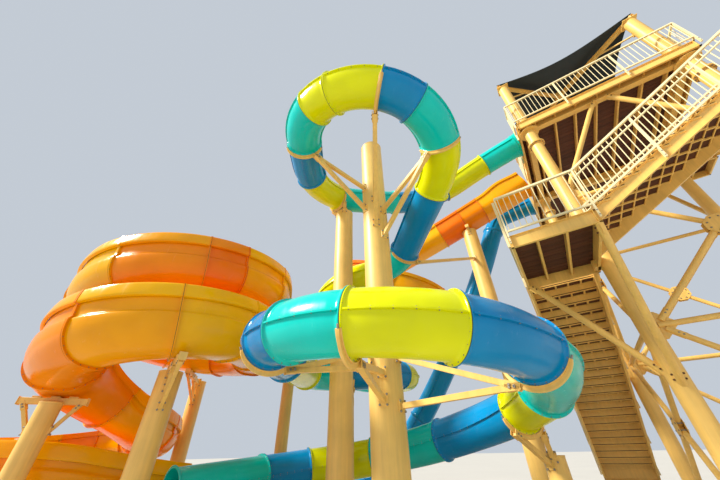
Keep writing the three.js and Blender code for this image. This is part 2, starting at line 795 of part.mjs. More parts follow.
// A flat saddle under a flume's floor.
function saddle(route, distance) {
  const ends = [distance - SADDLE_HALF, distance + SADDLE_HALF];
  const twist = route.turned(...ends) > 0 ? 1.1 : 0; // how far a bend twists the floor over it
  const top = -FLUME_WALL - SEAT_GAP - twist;
  const half = 100;
  const section = new THREE.Shape([
    new THREE.Vector2(half, top - 110),
    new THREE.Vector2(half, top),
    new THREE.Vector2(-half, top),
    new THREE.Vector2(-half, top - 110),
  ]);
  return carry(route, ends, section);
}

function column(name, x, y, diameter, top, parts) {
  const half = diameter * 0.8;
  const base = box(at(x - half, y - half, 0), at(x + half, y + half, BASE_THICKNESS));
  return place(name, join([base, upright(x, y, 1, top, diameter, 10), ...parts]), "sand");
}

const HELIX = [-4490, -3150];
const helixStrut = (distance, drop) =>
  strut(aquaRoute, distance, at(...HELIX, aquaRoute.at(distance).z - drop));
column("helix_column_centre", ...HELIX, 610, 9300, [
  ...[10450, 13250, 15050].flatMap((d) => [
    cradle(aquaRoute, d),
    helixStrut(d, 900),
    helixStrut(d, 1800),
  ]),
  ...[38250, 39950, 42550].flatMap((d) => [
    cradle(aquaRoute, d),
    helixStrut(d, 150),
    helixStrut(d, 800),
  ]),
]);
const tubePost = (name, x, y, diameter, top, distance) =>
  column(name, x, y, diameter, top, [
    cradle(aquaRoute, distance),
    strut(aquaRoute, distance, at(x, y, top - 250)),
    strut(aquaRoute, distance, at(x, y, top - 250), -1),
  ]);
tubePost("helix_column_back", -6260, -2080, 560, 8250, 7650);
tubePost("helix_column_right", -2490, 40, 410, 1500, 45600);
tubePost("helix_column_far", -7100, -460, 170, 3000, 31600);
const steepFoot = steepRoute.at(9550);
column("steep_tube_column", steepFoot.x, steepFoot.y, 300, steepFoot.z - 500, [cradle(steepRoute, 9550)]);

// A bracket from a column's head to a saddle beside it.
const BRACKET_SIZE = 130;
function bracket(x, y, z, distance) {
  const end = flumeRoute.beside(distance, 0, -FLUME_WALL - 115);
  return bar(at(x, y, z), end, BRACKET_SIZE, BRACKET_SIZE);
}

function flumePost(name, [x, y], diameter, distance, parts = []) {
  const top = flumeRoute.at(distance).z - 130;
  const carried = [saddle(flumeRoute, distance), bracket(x, y, top - 90, distance)];
  return column(name, x, y, diameter, top, [...carried, ...parts]);
}
flumePost("flume_column_straight", [-3250, 3650], 610, 2950, [
  cradle(aquaRoute, 18550),
  strut(aquaRoute, 18550, at(-3250, 3650, 8400), -1),
  saddle(flumeRoute, 13600),
  bracket(-3250, 3650, 5000, 13600),
]);
flumePost("flume_column_link", [-10330, 196], 400, 21000, [
  cradle(aquaRoute, 24600),
  strut(aquaRoute, 24600, at(-10330, 196, 3700)),
]);
const SPIRAL_FAR = [-13330, -1434];
flumePost("spiral_column_far", SPIRAL_FAR, 460, 34300, [
  saddle(flumeRoute, 48800),
  bracket(...SPIRAL_FAR, 1200, 48800),
]);
flumePost("spiral_column_near", [-9110, -4624], 480, 41000);
const SPIRAL_LEFT = [-11030, -5894];
flumePost("spiral_column_left", SPIRAL_LEFT, 400, 44400, [
  saddle(flumeRoute, 55000),
  bracket(...SPIRAL_LEFT, 880, 55000),
]);

export default tower;
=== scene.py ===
"""Looks of a water slide tower: a steel stair tower with a shaded deck, an aqua body-slide tube that
winds round its columns, an orange flume that ends in a spiral, and a steep blue tube. Metres, +Z up. The
origin is the foot of the tower's front left mast, with +X along its front and +Y towards its back."""

import math

import bpy
import numpy as np
from mathutils import Matrix


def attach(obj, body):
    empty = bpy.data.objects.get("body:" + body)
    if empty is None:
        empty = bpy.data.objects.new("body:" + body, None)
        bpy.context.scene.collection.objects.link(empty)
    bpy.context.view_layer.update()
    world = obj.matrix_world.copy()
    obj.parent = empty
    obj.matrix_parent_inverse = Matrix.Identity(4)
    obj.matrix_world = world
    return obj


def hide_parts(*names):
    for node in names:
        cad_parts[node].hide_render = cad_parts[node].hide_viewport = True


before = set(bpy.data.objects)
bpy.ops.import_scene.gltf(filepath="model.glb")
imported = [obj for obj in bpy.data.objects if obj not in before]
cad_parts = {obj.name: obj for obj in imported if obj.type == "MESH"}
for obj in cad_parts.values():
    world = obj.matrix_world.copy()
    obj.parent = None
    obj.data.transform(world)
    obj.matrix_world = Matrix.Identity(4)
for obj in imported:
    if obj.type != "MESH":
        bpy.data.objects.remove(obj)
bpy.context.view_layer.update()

bl_info = {
    "name": "Water Slide Tower",
    "version": (1, 0, 0),
    "blender": (4, 5, 0),
    "location": "View3D > Sidebar > Slide Tower",
    "description": "Builds the slides, their supports, the stair tower and its roof round a packed frame",
    "category": "Add Mesh",
}

TAU = 2 * math.pi
ROOT = "root"
UP = np.array([0, 0, 1.0])


def linear(code):
    """A colour's linear values from its sRGB hex code."""
    values = np.array([int(code[k : k + 2], 16) for k in (1, 3, 5)]) / 255
    curved = ((values + 0.055) / 1.055) ** 2.4
    return tuple(float(v) for v in np.where(values <= 0.04045, values / 12.92, curved))


def size(name, words, value):
    """A length that a user may change, in metres."""
    return bpy.props.FloatProperty(name=name, description=words, default=value, min=0.0, unit="LENGTH")


def tint(name, words, code):
    """A colour that a user may change, from its hex code."""
    return bpy.props.FloatVectorProperty(
        name=name, description=words, default=linear(code), size=3, min=0.0, max=1.0, subtype="COLOR"
    )


class TubeSizes(bpy.types.PropertyGroup):
    """Sizes of the closed body-slide tubes."""

    radius: size("Radius", "Outer radius of a tube's shell", 0.42)
    wall: size("Wall", "Thickness of the moulded shell", 0.014)
    lip: size("Lip", "Radius of the flange that bolts two lengths together", 0.46)
    lip_thickness: size("Lip thickness", "Thickness of one flange", 0.014)
    seam_width: size("Seam width", "How far the side seams stand out from the shell", 0.036)
    bolt_spacing: size("Bolt spacing", "Distance between the bolts of a side seam", 0.24)
    lip_bolts: bpy.props.IntProperty(name="Flange bolts", description="Bolts round one flange", default=20)


class FlumeSizes(bpy.types.PropertyGroup):
    """Sizes of the open flume."""

    wall: size("Wall", "Thickness of the moulded shell", 0.014)
    rim_width: size("Rim width", "How far the folded rim stands out", 0.062)
    rim_depth: size("Rim depth", "Height of the folded rim", 0.128)
    band_depth: size("Band depth", "Height of the wide rim on the outer walls", 0.29)
    bulge: size("Bulge", "How far an outer wall's body stands out below its hollow", 0.03)
    rib: size("Rib", "How far a bolted joint's rib stands out", 0.045)
    bolt_spacing: size("Bolt spacing", "Distance between the bolts of a joint", 0.16)


class SteelSizes(bpy.types.PropertyGroup):
    """Sizes of the tower's steel."""

    mast: size("Mast diameter", "Diameter of the four masts", 0.34)
    splice: size("Splice height", "Height of the bolted flange in each mast", 9.7)
    brace: size("Brace diameter", "Diameter of the pipes that cross between the masts", 0.114)
    knee: size("Knee diameter", "Diameter of the pipes that hold up the decks", 0.14)
    board: size("Board width", "Width of a deck board", 0.14)
    joist_spacing: size("Joist spacing", "Distance between the joists of a deck", 0.58)


class RailSizes(bpy.types.PropertyGroup):
    """Sizes of the railings."""

    height: size("Height", "Height of the top rail over the deck", 1.07)
    post: size("Post", "Width of a post", 0.06)
    baluster: size("Baluster", "Diameter of a baluster", 0.018)
    spacing: size("Spacing", "Distance between balusters", 0.125)


class SlideColours(bpy.types.PropertyGroup):
    """Colours of the shells, the paints, the boards and the sail."""

    teal: tint("Teal", "Gelcoat of the teal lengths", "#00CEC4")
    lime: tint("Lime", "Gelcoat of the lime lengths", "#E4E800")
    blue: tint("Blue", "Gelcoat of the blue lengths", "#058CC8")
    orange: tint("Orange", "Gelcoat of the orange lengths", "#FF9000")
    red_orange: tint("Red orange", "Gelcoat of the red orange lengths", "#FF7A00")
    amber: tint("Amber", "Gelcoat of the amber lengths", "#FFA900")
    yellow: tint("Yellow", "Gelcoat of the yellow lengths", "#FFB900")
    sand: tint("Sand", "Paint of the masts, columns and decks", "#F5C76A")
    cream: tint("Cream", "Paint of the railings", "#F4E4B4")
    # The boards' brown is darker than their lit colour: painted shade from under the decks, laid over their
    # real brown.
    board: tint("Boards", "Deck boards and treads", "#5B3420")
    sail: tint("Sail", "Shade cloth", "#1B2C31")


def unit(v):
    """Rows of vectors at length one."""
    v = np.asarray(v, float)
    return v / np.linalg.norm(v, axis=-1, keepdims=True)


def dots(a, b):
    """Dot products of rows of vectors."""
    return np.einsum("...i,...i->...", a, b)


def around(left, up, count, shift=0.0):
    """Directions round an axis: the cosine of evenly spread angles times left plus their sine times up,
    turned on by a share of one step."""
    angle = ((np.arange(count) + shift) * TAU / count).reshape(-1, *[1] * np.ndim(left))
    return np.cos(angle) * left + np.sin(angle) * up


def circle(count, shift=0.0):
    """Points of a unit circle: the cosines and sines of evenly spread angles."""
    return around(np.array([1, 0]), np.array([0, 1]), count, shift)


class Skin:
    """The points and faces of one piece, gathered body by body, each with its finish's number."""

    def __init__(self):
        self.points, self.corners, self.sizes, self.finishes, self.count = [], [], [], [], 0

    def faces(self, faces, finish=0):
        """Adds faces of one number of corners, counted from the points that are there already."""
        faces = np.asarray(faces).reshape(-1, np.shape(faces)[-1])
        self.corners.append(faces.ravel() + self.count)
        self.sizes.append(np.full(len(faces), faces.shape[1]))
        self.finishes.append(np.full(len(faces), finish))

    def loft(self, rings, closed=False, finish=0):
        """Bodies drawn through rings: an array of bodies, rings, points and x, y, z, or one body alone.
        Ring to ring and point to point make a grid of four-sided faces. The first and last ring are
        capped, or with closed joined to each other. Each body's signed volume, the sum of a face's
        corner times the cross product of the next two, turns its faces outwards."""
        rings = np.asarray(rings, float)
        rings = rings[None] if rings.ndim == 3 else rings
        n, m, k, _ = rings.shape
        index = np.arange(n * m * k).reshape(n, m, k)
        here = index if closed else index[:, :-1]
        there = np.roll(index, -1, axis=1) if closed else index[:, 1:]
        quads = np.stack([here, np.roll(here, -1, 2), np.roll(there, -1, 2), there], -1).reshape(n, -1, 4)
        sets = [quads] if closed else [quads, np.concatenate([index[:, :1, ::-1], index[:, -1:]], axis=1)]
        points = rings.reshape(-1, 3)
        volume = 0
        for faces in sets:
            p = points[faces] - rings.reshape(n, -1, 3)[:, :1, None]
            volume = volume + dots(p[:, :, :1], np.cross(p[:, :, 1:-1], p[:, :, 2:])).sum((-1, -2))
        for faces in sets:
            faces[volume < 0] = faces[volume < 0][..., ::-1]
            self.faces(faces, finish)
        self.points.append(points)
        self.count += len(points)

    def boxes(self, lows, highs, finish=0):
        """Boxes between rows of lowest and highest corners."""
        low, high = (np.atleast_2d(np.asarray(v, float)) for v in (lows, highs))
        low, high = np.broadcast_arrays(low, high)
        along = np.array([[0, 0], [1, 0], [1, 1], [0, 1]])
        ring = np.concatenate([along, np.zeros((4, 1))], 1)
        share = np.stack([ring, ring + [0, 0, 1]])
        self.loft(low[:, None, None] + share * (high - low)[:, None, None], finish=finish)

    def bars(self, starts, ends, width, depth, up=UP):
        """Bars of a four-sided section, with their width across the direction up."""
        start, end, side, top = beam_axes(starts, ends, up)
        w, d = width / 2 * side, depth / 2 * top
        ring = np.stack([w + d, d - w, -w - d, w - d], 1)
        self.loft(np.stack([start[:, None] + ring, end[:, None] + ring], 1))

    def pipes(self, starts, ends, radius, sides=12, finish=0):
        """Round bars: a circle, the cosine and sine of an angle times the radius, at both ends."""
        start, end, side, top = beam_axes(starts, ends, (0.31, 0.17, 1))
        ring = radius * around(side, top, sides).swapaxes(0, 1)
        self.loft(np.stack([start[:, None] + ring, end[:, None] + ring], 1), finish=finish)

    def bolts(self, places, axes, radius, half):
        """Hexagon bolts through a joint: six-sided bars of twice the half length, centred at the places."""
        places = np.atleast_2d(places)
        axes = unit(np.broadcast_to(axes, places.shape))
        self.pipes(places - half * axes, places + half * axes, radius, 6, finish=1)

    def turned(self, profile, x, y, sides=48):
        """A round body about an upright line: each row of the profile is a radius and a height."""
        profile = np.asarray(profile, float)
        flat = profile[:, :1, None] * circle(sides)
        height = np.broadcast_to(profile[:, 1:, None], (*flat.shape[:2], 1))
        self.loft(np.concatenate([flat, height], -1) + [x, y, 0])

    def beam(self, start, end, profile):
        """A rolled section, points to the side and up, from start to end."""
        a, b, side, top = (v[0] for v in beam_axes([start], [end], UP))
        profile = np.asarray(profile, float)
        ring = profile[:, :1] * side + profile[:, 1:] * top
        self.loft(np.stack([a + ring, b + ring]))

    def plate(self, outline, origin, across, up, thickness):
        """A flat plate: an outline in the directions across and up, as thick to both sides of it."""
        across, up = unit(across), unit(up)
        normal = np.cross(across, up)
        outline = np.asarray(outline, float)
        ring = np.asarray(origin) + outline[:, :1] * across + outline[:, 1:] * up
        half = normal * thickness / 2
        self.loft(np.stack([ring - half, ring + half]))

    def mesh(self, name):
        """The mesh of all bodies, smooth but for its edges sharper than 38 degrees."""
        mesh = bpy.data.meshes.new(name)
        points, corners = np.concatenate(self.points), np.concatenate(self.corners)
        sizes = np.concatenate(self.sizes)
        mesh.vertices.add(len(points))
        mesh.vertices.foreach_set("co", points.ravel().astype(np.float32))
        mesh.loops.add(len(corners))
        mesh.loops.foreach_set("vertex_index", corners.astype(np.int32))
        mesh.polygons.add(len(sizes))
        mesh.polygons.foreach_set("loop_start", (np.cumsum(sizes) - sizes).astype(np.int32))
        mesh.polygons.foreach_set("material_index", np.concatenate(self.finishes).astype(np.int32))
        mesh.update(calc_edges=True)
        mesh.polygons.foreach_set("use_smooth", np.ones(len(sizes), bool))
        mesh.set_sharp_from_angle(angle=math.radians(38))
        return mesh


def beam_axes(starts, ends, up):
    """Start and end points with the unit directions to the side of and above each line."""
    start, end = (np.atleast_2d(np.asarray(v, float)) for v in (starts, ends))
    start, end = np.broadcast_arrays(start, end)
    along = unit(end - start)
    up = np.broadcast_to(np.asarray(up, float), along.shape)
    steep = np.abs(dots(along, unit(up)))[:, None] > 0.999
    side = unit(np.cross(np.where(steep, np.roll(up, 1, -1), up), along))
    return start, end, side, np.cross(along, side)


def channel(width, depth, thick, face=1):
    """A channel section with its back at width times face and its flanges reaching back to nothing."""
    w, d, t = width * face, depth / 2, thick
    back = w - t * face
    return [[0, -d], [w, -d], [w, d], [0, d], [0, d - t], [back, d - t], [back, t - d], [0, t - d]]


def i_section(width, depth, thick):
    """An I section about its middle, with its web as thick as its flanges."""
    w, d, t = width / 2, depth / 2, thick
    h = t / 2
    half = [[-w, -d], [w, -d], [w, t - d], [h, t - d], [h, d - t], [w, d - t], [w, d], [-w, d], [-w, d - t]]
    return [*half, [-h, d - t], [-h, t - d], [-w, t - d]]


class Route:
    """A line of straights and bends in plan, whose fall changes evenly along each move. Moves are length
    and fall for a straight, and radius, degrees and fall for a bend, positive to the left."""

    def __init__(self, start, heading, fall, moves):
        legs, place = [], [*start, math.radians(heading), fall]
        distance = 0.0
        for move in moves:
            angle = math.radians(move[1]) if len(move) == 3 else 0.0
            length = abs(angle) * move[0] if angle else move[0]
            legs.append([distance, length, *place, move[-1], angle / length])
            place = self.along(np.array([legs[-1]]), np.array([length]))[0].tolist()
            distance += length
        self.legs, self.length = np.array(legs), distance

    @staticmethod
    def along(legs, s):
        """Place, heading and fall at distances into legs. On a bend x and y follow the sine and cosine
        of the heading, and the height drops by the mean fall times the distance."""
        _, length, x, y, z, heading, fall, end_fall, bend = legs.T
        turned = heading + bend * s
        safe = np.where(np.abs(bend) < 1e-9, 1.0, bend)
        flat = np.abs(bend) < 1e-9
        dx = np.where(flat, np.cos(heading) * s, (np.sin(turned) - np.sin(heading)) / safe)
        dy = np.where(flat, np.sin(heading) * s, (np.cos(heading) - np.cos(turned)) / safe)
        now = fall + (end_fall - fall) * s / length
        return np.stack([x + dx, y + dy, z - (fall + now) / 2 * s, turned, now], -1)

    def frames(self, distances):
        """Points and the unit directions left, up and forward at distances."""
        s = np.atleast_1d(np.asarray(distances, float))
        leg = self.legs[np.clip(np.searchsorted(self.legs[:, 0], s + 1e-6, "right") - 1, 0, None)]
        x, y, z, heading, fall = self.along(leg, s - leg[:, 0]).T
        forward = unit(np.stack([np.cos(heading), np.sin(heading), -fall], -1))
        left = np.stack([-np.sin(heading), np.cos(heading), 0 * heading], -1)
        return np.stack([x, y, z], -1), left, np.cross(forward, left), forward

    def beside(self, distance, left, up):
        """Points to the left of and above the route at a distance."""
        p, side, top, _ = self.frames(distance)
        return p + np.asarray(left)[..., None] * side + np.asarray(up)[..., None] * top


# The slides' middle lines, from the tower: start, heading, fall and moves
AQUA = Route(
    (-0.3, 0.85, 10.95),
    180,
    0.15,
    [
        (2.4, 0.33), (2.8, 56, 0.33), (1.8, 0.25), (2.1, 70, 0.18), (0.95, 0.18), (1.7, 190, 0.21),
        (2.3, 0.21), (1.3, 72, 0.23), (0.3, 0.29), (1.3, -90, 0.45), (2.25, 0.4), (1.3, -90, 0.08),
        (0.2, 0.08), (1.25, -180, 0.05), (0.1, 0.05), (1.75, 94, 0.1), (3.28, 0.1), (2.26, 104, 0.072),
        (2.82, 121, 0.213), (1.55, 0.151), (2.72, 95, 0.084), (2.0, 0.08),
    ],
)  # fmt: skip
FLUME = Route(
    (-0.3, 3.65, 10.8),
    180,
    0.3,
    [
        (6.9, 0.24), (1.29, 182, 0.69), (0.97, 0.69), (1.165, 126, 0.06), (1.15, 84, 0.02), (3.0, 0.02),
        (2.1, 100, 0.02), (1.0, 0.08), (2.25, -189, 0.13), (0.15, 0.13), (2.15, -172, 0.1), (1.1, 0.1),
        (1.85, -142, 0.17), (1.85, -79, 0.42), (1.85, 60, 0.1), (1.85, 258, 0.04), (1.85, 30, 0.2),
        (2.3, 0.12),
    ],
)  # fmt: skip
STEEP = Route(
    (-0.3, 5.45, 11.35),
    184,
    0.1,
    [(1.35, 0.13), (0.8, 1.95), (4.95, 1.17), (1.0, 0.98), (1.45, 0.12), (3.0, 0.05)],
)
SPIRAL_START, RUNOUT_START = 22.9, 45.2  # where the flume's section begins to change
TOWER_SIDE = -0.3005  # the deck's left side, which the slides leave from
STATION = 0.13  # the most between two rings of a tube
TUBE_SIDES = 48  # faces round a tube
COLLAR = 0.13  # how far a tube's first length starts from the tower's side
JOINT_BACK = 0.045  # a joint's middle lies this far before the end of its CAD flange
# Where each length starts, and its colour
AQUA_LENGTHS = [
    (0, "teal"), (1.4, "lime"), (3.1, "blue"), (5.3, "teal"), (7.65, "lime"), (9.05, "blue"),
    (10.45, "teal"), (11.65, "lime"), (12.25, "lime"), (13.25, "blue"), (14.0, "teal"), (15.05, "lime"),
    (16.4, "blue"), (18.55, "teal"), (20.0, "lime"), (21.8, "blue"), (24.6, "teal"), (27.3, "lime"),
    (29.7, "blue"), (31.6, "teal"), (33.6, "lime"), (36.1, "blue"), (38.25, "blue"), (38.9, "teal"),
    (39.95, "lime"), (41.18, "blue"), (42.55, "teal"), (44.5, "lime"), (45.6, "blue"), (47.85, "teal"),
    (50.0, "lime"), (51.8, "blue"), (53.1, "teal"),
]  # fmt: skip
# Where the CAD lengths end, and their nodes
AQUA_ENDS = (5.3, 10.45, 15.05, 18.55, 24.6, 29.7, 35.3, 39.95, 42.55, 45.6, 50.0, 56.0)
AQUA_NODES = [(f"aqua_tube_{k:02d}", end) for k, end in enumerate(AQUA_ENDS, 1)]
STEEP_LENGTHS = [(start, "blue") for start in (0, 2.15, 4.6, 7.1, 9.55)]
STEEP_NODES = [("steep_tube_upper", 4.6), ("steep_tube_lower", 13.0)]
FLUME_LENGTHS = [
    (0, "amber"), (2.0, "orange"), (2.95, "red_orange"), (4.1, "yellow"), (5.6, "amber"),
    (6.9, "orange"), (8.6, "yellow"), (10.2, "red_orange"), (11.97, "amber"), (13.25, "orange"),
    (14.53, "yellow"), (16.3, "amber"), (17.9, "orange"), (19.42, "yellow"), (21.4, "red_orange"),
    (22.9, "yellow"), (24.64, "amber"), (25.8, "red_orange"), (26.55, "orange"), (28.15, "yellow"),
    (29.8, "amber"), (31.4, "orange"), (33.4, "yellow"), (35.1, "orange"), (36.8, "orange"),
    (38.2, "amber"), (39.9, "yellow"), (41.15, "amber"), (42.55, "orange"), (43.99, "orange"),
    (45.8, "amber"), (47.4, "orange"), (49.1, "amber"), (50.4, "orange"), (51.8, "yellow"),
    (53.4, "amber"), (55.0, "orange"), (56.7, "amber"), (58.2, "yellow"),
]  # fmt: skip
# A wide rim is one shade paler than its length
BAND_COLOURS = {"red_orange": "orange", "orange": "amber", "amber": "yellow", "yellow": "yellow"}
FLUME_ENDS = (4.6, 10.2, 16.3, 22.9, 27.7, 33.4, 39.0, 45.2, 51.8, 61.0)
FLUME_NODES = [(f"orange_flume_{k:02d}", end) for k, end in enumerate(FLUME_ENDS, 1)]
JOINT_FINISHES = ["zinc_bolts", "joint_sealant"]
SLOTS = {
    "teal": "teal_shell",
    "lime": "lime_shell",
    "blue": "blue_shell",
    "orange": "orange_shell",
    "red_orange": "orange_shell",
    "amber": "yellow_shell",
    "yellow": "yellow_shell",
}


def nodes_between(nodes, start, end):
    """Names of the CAD lengths that lie between two distances by more than a sliver."""
    lows = [0.0] + [high for _, high in nodes]
    return [name for (name, high), low in zip(nodes, lows) if min(end, high) - max(start, low) > 0.06]


def add_node(tree, kind, inputs=None, **settings):
    """One node, with its own settings, and its inputs set to values or linked to sockets. A node given
    for an input is linked by its first output."""
    made = tree.nodes.new("ShaderNode" + kind)
    for name, value in settings.items():
        setattr(made, name, value)
    for name, value in (inputs or {}).items():
        value = value.outputs[0] if isinstance(value, bpy.types.Node) else value
        if isinstance(value, bpy.types.NodeSocket):
            tree.links.new(value, made.inputs[name])
        else:
            made.inputs[name].default_value = value
    return made


def shade(colour, times=1.0):
    """An opaque colour, made darker or lighter."""
    return (*(min(1.0, c * times) for c in colour), 1.0)


def surface(tree, colour, roughness, normal, **own):
    """The shader. Its own sockets take the values that are the same all over."""
    inputs = {"Base Color": colour, "Roughness": roughness, "Normal": normal}
    inputs.update({name.replace("_", " "): value for name, value in own.items()})
    add_node(tree, "OutputMaterial", {"Surface": add_node(tree, "BsdfPrincipled", inputs)})


def gelcoat(tree, place, colour):
    """Polyester gelcoat over glass fibre, sprayed into a polished mould and waxed: a deep even colour
    with a soft gloss, slow ripples from the laminate, and water marks that run down."""
    drift = add_node(tree, "TexNoise", {"Vector": place, "Scale": 1.1, "Detail": 3.0})
    run = add_node(tree, "Mapping", {"Vector": place, "Scale": (9.0, 9.0, 1.3)})  # 110 mm by 770 mm
    marks = add_node(tree, "TexNoise", {"Vector": run, "Scale": 1.0, "Detail": 5.0, "Roughness": 0.6})
    ramp = add_node(tree, "ValToRGB", {"Fac": drift})
    for stop, position, times in zip(ramp.color_ramp.elements, (0.3, 0.72), (0.88, 1.06)):
        stop.position, stop.color = position, shade(colour, times)
    chalk = add_node(tree, "MapRange", {"Value": marks, "From Min": 0.52, "From Max": 0.8, "To Max": 0.05})
    pale = [0.75 * c + 0.25 * 0.85 for c in colour]
    worn = add_node(tree, "MixRGB", {"Fac": chalk, "Color1": ramp, "Color2": shade(pale)})
    worn_gloss = {"From Min": 0.3, "From Max": 0.75, "To Min": 0.12, "To Max": 0.3}
    gloss = add_node(tree, "MapRange", {"Value": marks, **worn_gloss})
    ripple = add_node(tree, "TexNoise", {"Vector": place, "Scale": 3.2, "Detail": 1.0})  # 300 mm
    bump = add_node(tree, "Bump", {"Height": ripple, "Strength": 0.35, "Distance": 0.02})
    surface(tree, worn, gloss, bump, IOR=1.5, Specular_IOR_Level=0.28)


def steel_paint(tree, place, colour, dust):
    """Two-pack paint sprayed on blasted steel: half gloss with a fine orange peel, slow drifts of colour
    from sun and dust, and faint runs of dirt down its uprights."""
    drift = add_node(tree, "TexNoise", {"Vector": place, "Scale": 1.7, "Detail": 4.0})
    run = add_node(tree, "Mapping", {"Vector": place, "Scale": (14.0, 14.0, 0.9)})  # 70 mm by 1.1 m
    runs = add_node(tree, "TexNoise", {"Vector": run, "Scale": 1.0, "Detail": 4.0, "Roughness": 0.65})
    both = add_node(tree, "Math", {0: drift, 1: runs}, operation="ADD")
    ramp = add_node(tree, "MapRange", {"Value": both, "From Min": 0.75, "From Max": 1.3})
    tones = {"Color1": shade(colour, dust), "Color2": shade(colour, 1.06)}
    mixed = add_node(tree, "MixRGB", {"Fac": ramp, **tones})
    half_gloss = {"From Min": 0.3, "From Max": 0.7, "To Min": 0.36, "To Max": 0.52}
    gloss = add_node(tree, "MapRange", {"Value": runs, **half_gloss})
    peel = add_node(tree, "TexNoise", {"Vector": place, "Scale": 90.0, "Detail": 1.0})  # 11 mm
    bump = add_node(tree, "Bump", {"Height": peel, "Strength": 0.15, "Distance": 0.002})
    surface(tree, mixed, gloss, bump, IOR=1.5)


def zinc(tree, place):
    """Hot-dipped zinc on bolts: dull grey metal with a patchy spangle and rust in the threads."""
    patch = add_node(tree, "TexVoronoi", {"Vector": place, "Scale": 130.0})  # 8 mm spangle
    tones = {"Color1": shade(linear("#B4AFA6")), "Color2": shade(linear("#7E705F"))}
    mixed = add_node(tree, "MixRGB", {"Fac": patch, **tones})
    gloss = add_node(tree, "MapRange", {"Value": patch, "From Max": 0.8, "To Min": 0.4, "To Max": 0.62})
    bump = add_node(tree, "Bump", {"Height": patch, "Strength": 0.2, "Distance": 0.001})
    surface(tree, mixed, gloss, bump, Metallic=0.7)


def sealant(tree, place):
    """Polyurethane sealant squeezed out of a joint: dull and nearly black, with a soft uneven face."""
    lumps = add_node(tree, "TexNoise", {"Vector": place, "Scale": 40.0, "Detail": 2.0})  # 25 mm
    tones = {"Color1": shade(linear("#1D2224")), "Color2": shade(linear("#3C4142"))}
    mixed = add_node(tree, "MixRGB", {"Fac": lumps, **tones})
    gloss = add_node(tree, "MapRange", {"Value": lumps, "To Min": 0.6, "To Max": 0.85})
    bump = add_node(tree, "Bump", {"Height": lumps, "Strength": 0.3, "Distance": 0.003})
    surface(tree, mixed, gloss, bump, IOR=1.45)


def boards(tree, place, colour):
    """Wood and plastic composite, extruded and brushed: brown boards, each a little different, with a
    grain along X of streaks 4 mm wide and 150 mm long, dull and rough underfoot."""
    lie = add_node(tree, "Mapping", {"Vector": place, "Scale": (6.5, 240.0, 60.0)})
    grain = add_node(tree, "TexNoise", {"Vector": lie, "Scale": 1.0, "Detail": 4.0, "Roughness": 0.6})
    step = add_node(tree, "Mapping", {"Vector": place, "Scale": (0.12, 7.1, 2.0)})  # one board is 140 mm
    tone = add_node(tree, "TexNoise", {"Vector": step, "Scale": 1.0, "Detail": 1.0})
    both = add_node(tree, "Math", {0: grain, 1: tone}, operation="MULTIPLY")
    ramp = add_node(tree, "MapRange", {"Value": both, "From Min": 0.1, "From Max": 0.42})
    tones = {"Color1": shade(colour, 0.55), "Color2": shade(colour, 1.35)}
    mixed = add_node(tree, "MixRGB", {"Fac": ramp, **tones})
    gloss = add_node(tree, "MapRange", {"Value": grain, "To Min": 0.6, "To Max": 0.85})
    bump = add_node(tree, "Bump", {"Height": grain, "Strength": 0.5, "Distance": 0.003})
    surface(tree, mixed, gloss, bump, IOR=1.45)


def shade_cloth(tree, place, colour):
    """Knitted polythene shade cloth: dark dull tape in rows, drawn 24 mm apart, eight times the real
    3 mm, so that the knit shows, with paler dust between them and a soft sheen."""
    rows = add_node(tree, "TexWave", {"Vector": place, "Scale": 6.6, "Distortion": 0.6})
    turned = {"Vector": place, "Scale": 6.6, "Distortion": 0.8}
    across = add_node(tree, "TexWave", turned, bands_direction="Y")
    knit = add_node(tree, "Math", {0: rows.outputs["Fac"], 1: across.outputs["Fac"]}, operation="MULTIPLY")
    dust = add_node(tree, "TexNoise", {"Vector": place, "Scale": 1.3, "Detail": 4.0})
    both = add_node(tree, "Math", {0: knit, 1: dust}, operation="MULTIPLY")
    tones = {"Color1": shade(colour, 0.75), "Color2": shade(colour, 1.9)}
    mixed = add_node(tree, "MixRGB", {"Fac": both, **tones})
    gloss = add_node(tree, "MapRange", {"Value": knit, "To Min": 0.7, "To Max": 0.9})
    bump = add_node(tree, "Bump", {"Height": knit, "Strength": 0.6, "Distance": 0.003})
    surface(tree, mixed, gloss, bump, Sheen_Weight=0.15, Sheen_Roughness=0.5)


def floor_paint(tree, place):
    """Pale studio floor: rolled paint with a faint cloud and a fine roller texture."""
    cloud = add_node(tree, "TexNoise", {"Vector": place, "Scale": 0.2, "Detail": 3.0})
    tones = {"Color1": shade(linear("#B9B5AC")), "Color2": shade(linear("#C6C2B9"))}
    mixed = add_node(tree, "MixRGB", {"Fac": cloud, **tones})
    gloss = add_node(tree, "MapRange", {"Value": cloud, "To Min": 0.6, "To Max": 0.75})
    fine = add_node(tree, "TexNoise", {"Vector": place, "Scale": 60.0})
    bump = add_node(tree, "Bump", {"Height": fine, "Strength": 0.1, "Distance": 0.002})
    surface(tree, mixed, gloss, bump, IOR=1.45)


def finish(name):
    """A finish by its name, made the first time that it is asked for. Its patterns lie on the object in
    metres."""
    found = bpy.data.materials.get(name)
    if found:
        return found
    material = bpy.data.materials.new(name)
    material.use_nodes = True
    tree = material.node_tree
    tree.nodes.clear()
    place = add_node(tree, "TexCoord").outputs["Object"]
    colours = bpy.context.scene.slide_colours
    if name.endswith("_gelcoat"):
        gelcoat(tree, place, getattr(colours, name.removesuffix("_gelcoat")))
        return material
    maker, *own = {
        "sand_paint": (steel_paint, colours.sand, 0.85),
        "cream_paint": (steel_paint, colours.cream, 0.9),
        "zinc_bolts": (zinc,),
        "joint_sealant": (sealant,),
        "composite_boards": (boards, colours.board),
        "shade_cloth": (shade_cloth, colours.sail),
        "studio_floor": (floor_paint,),
    }[name]
    maker(tree, place, *own)
    return material


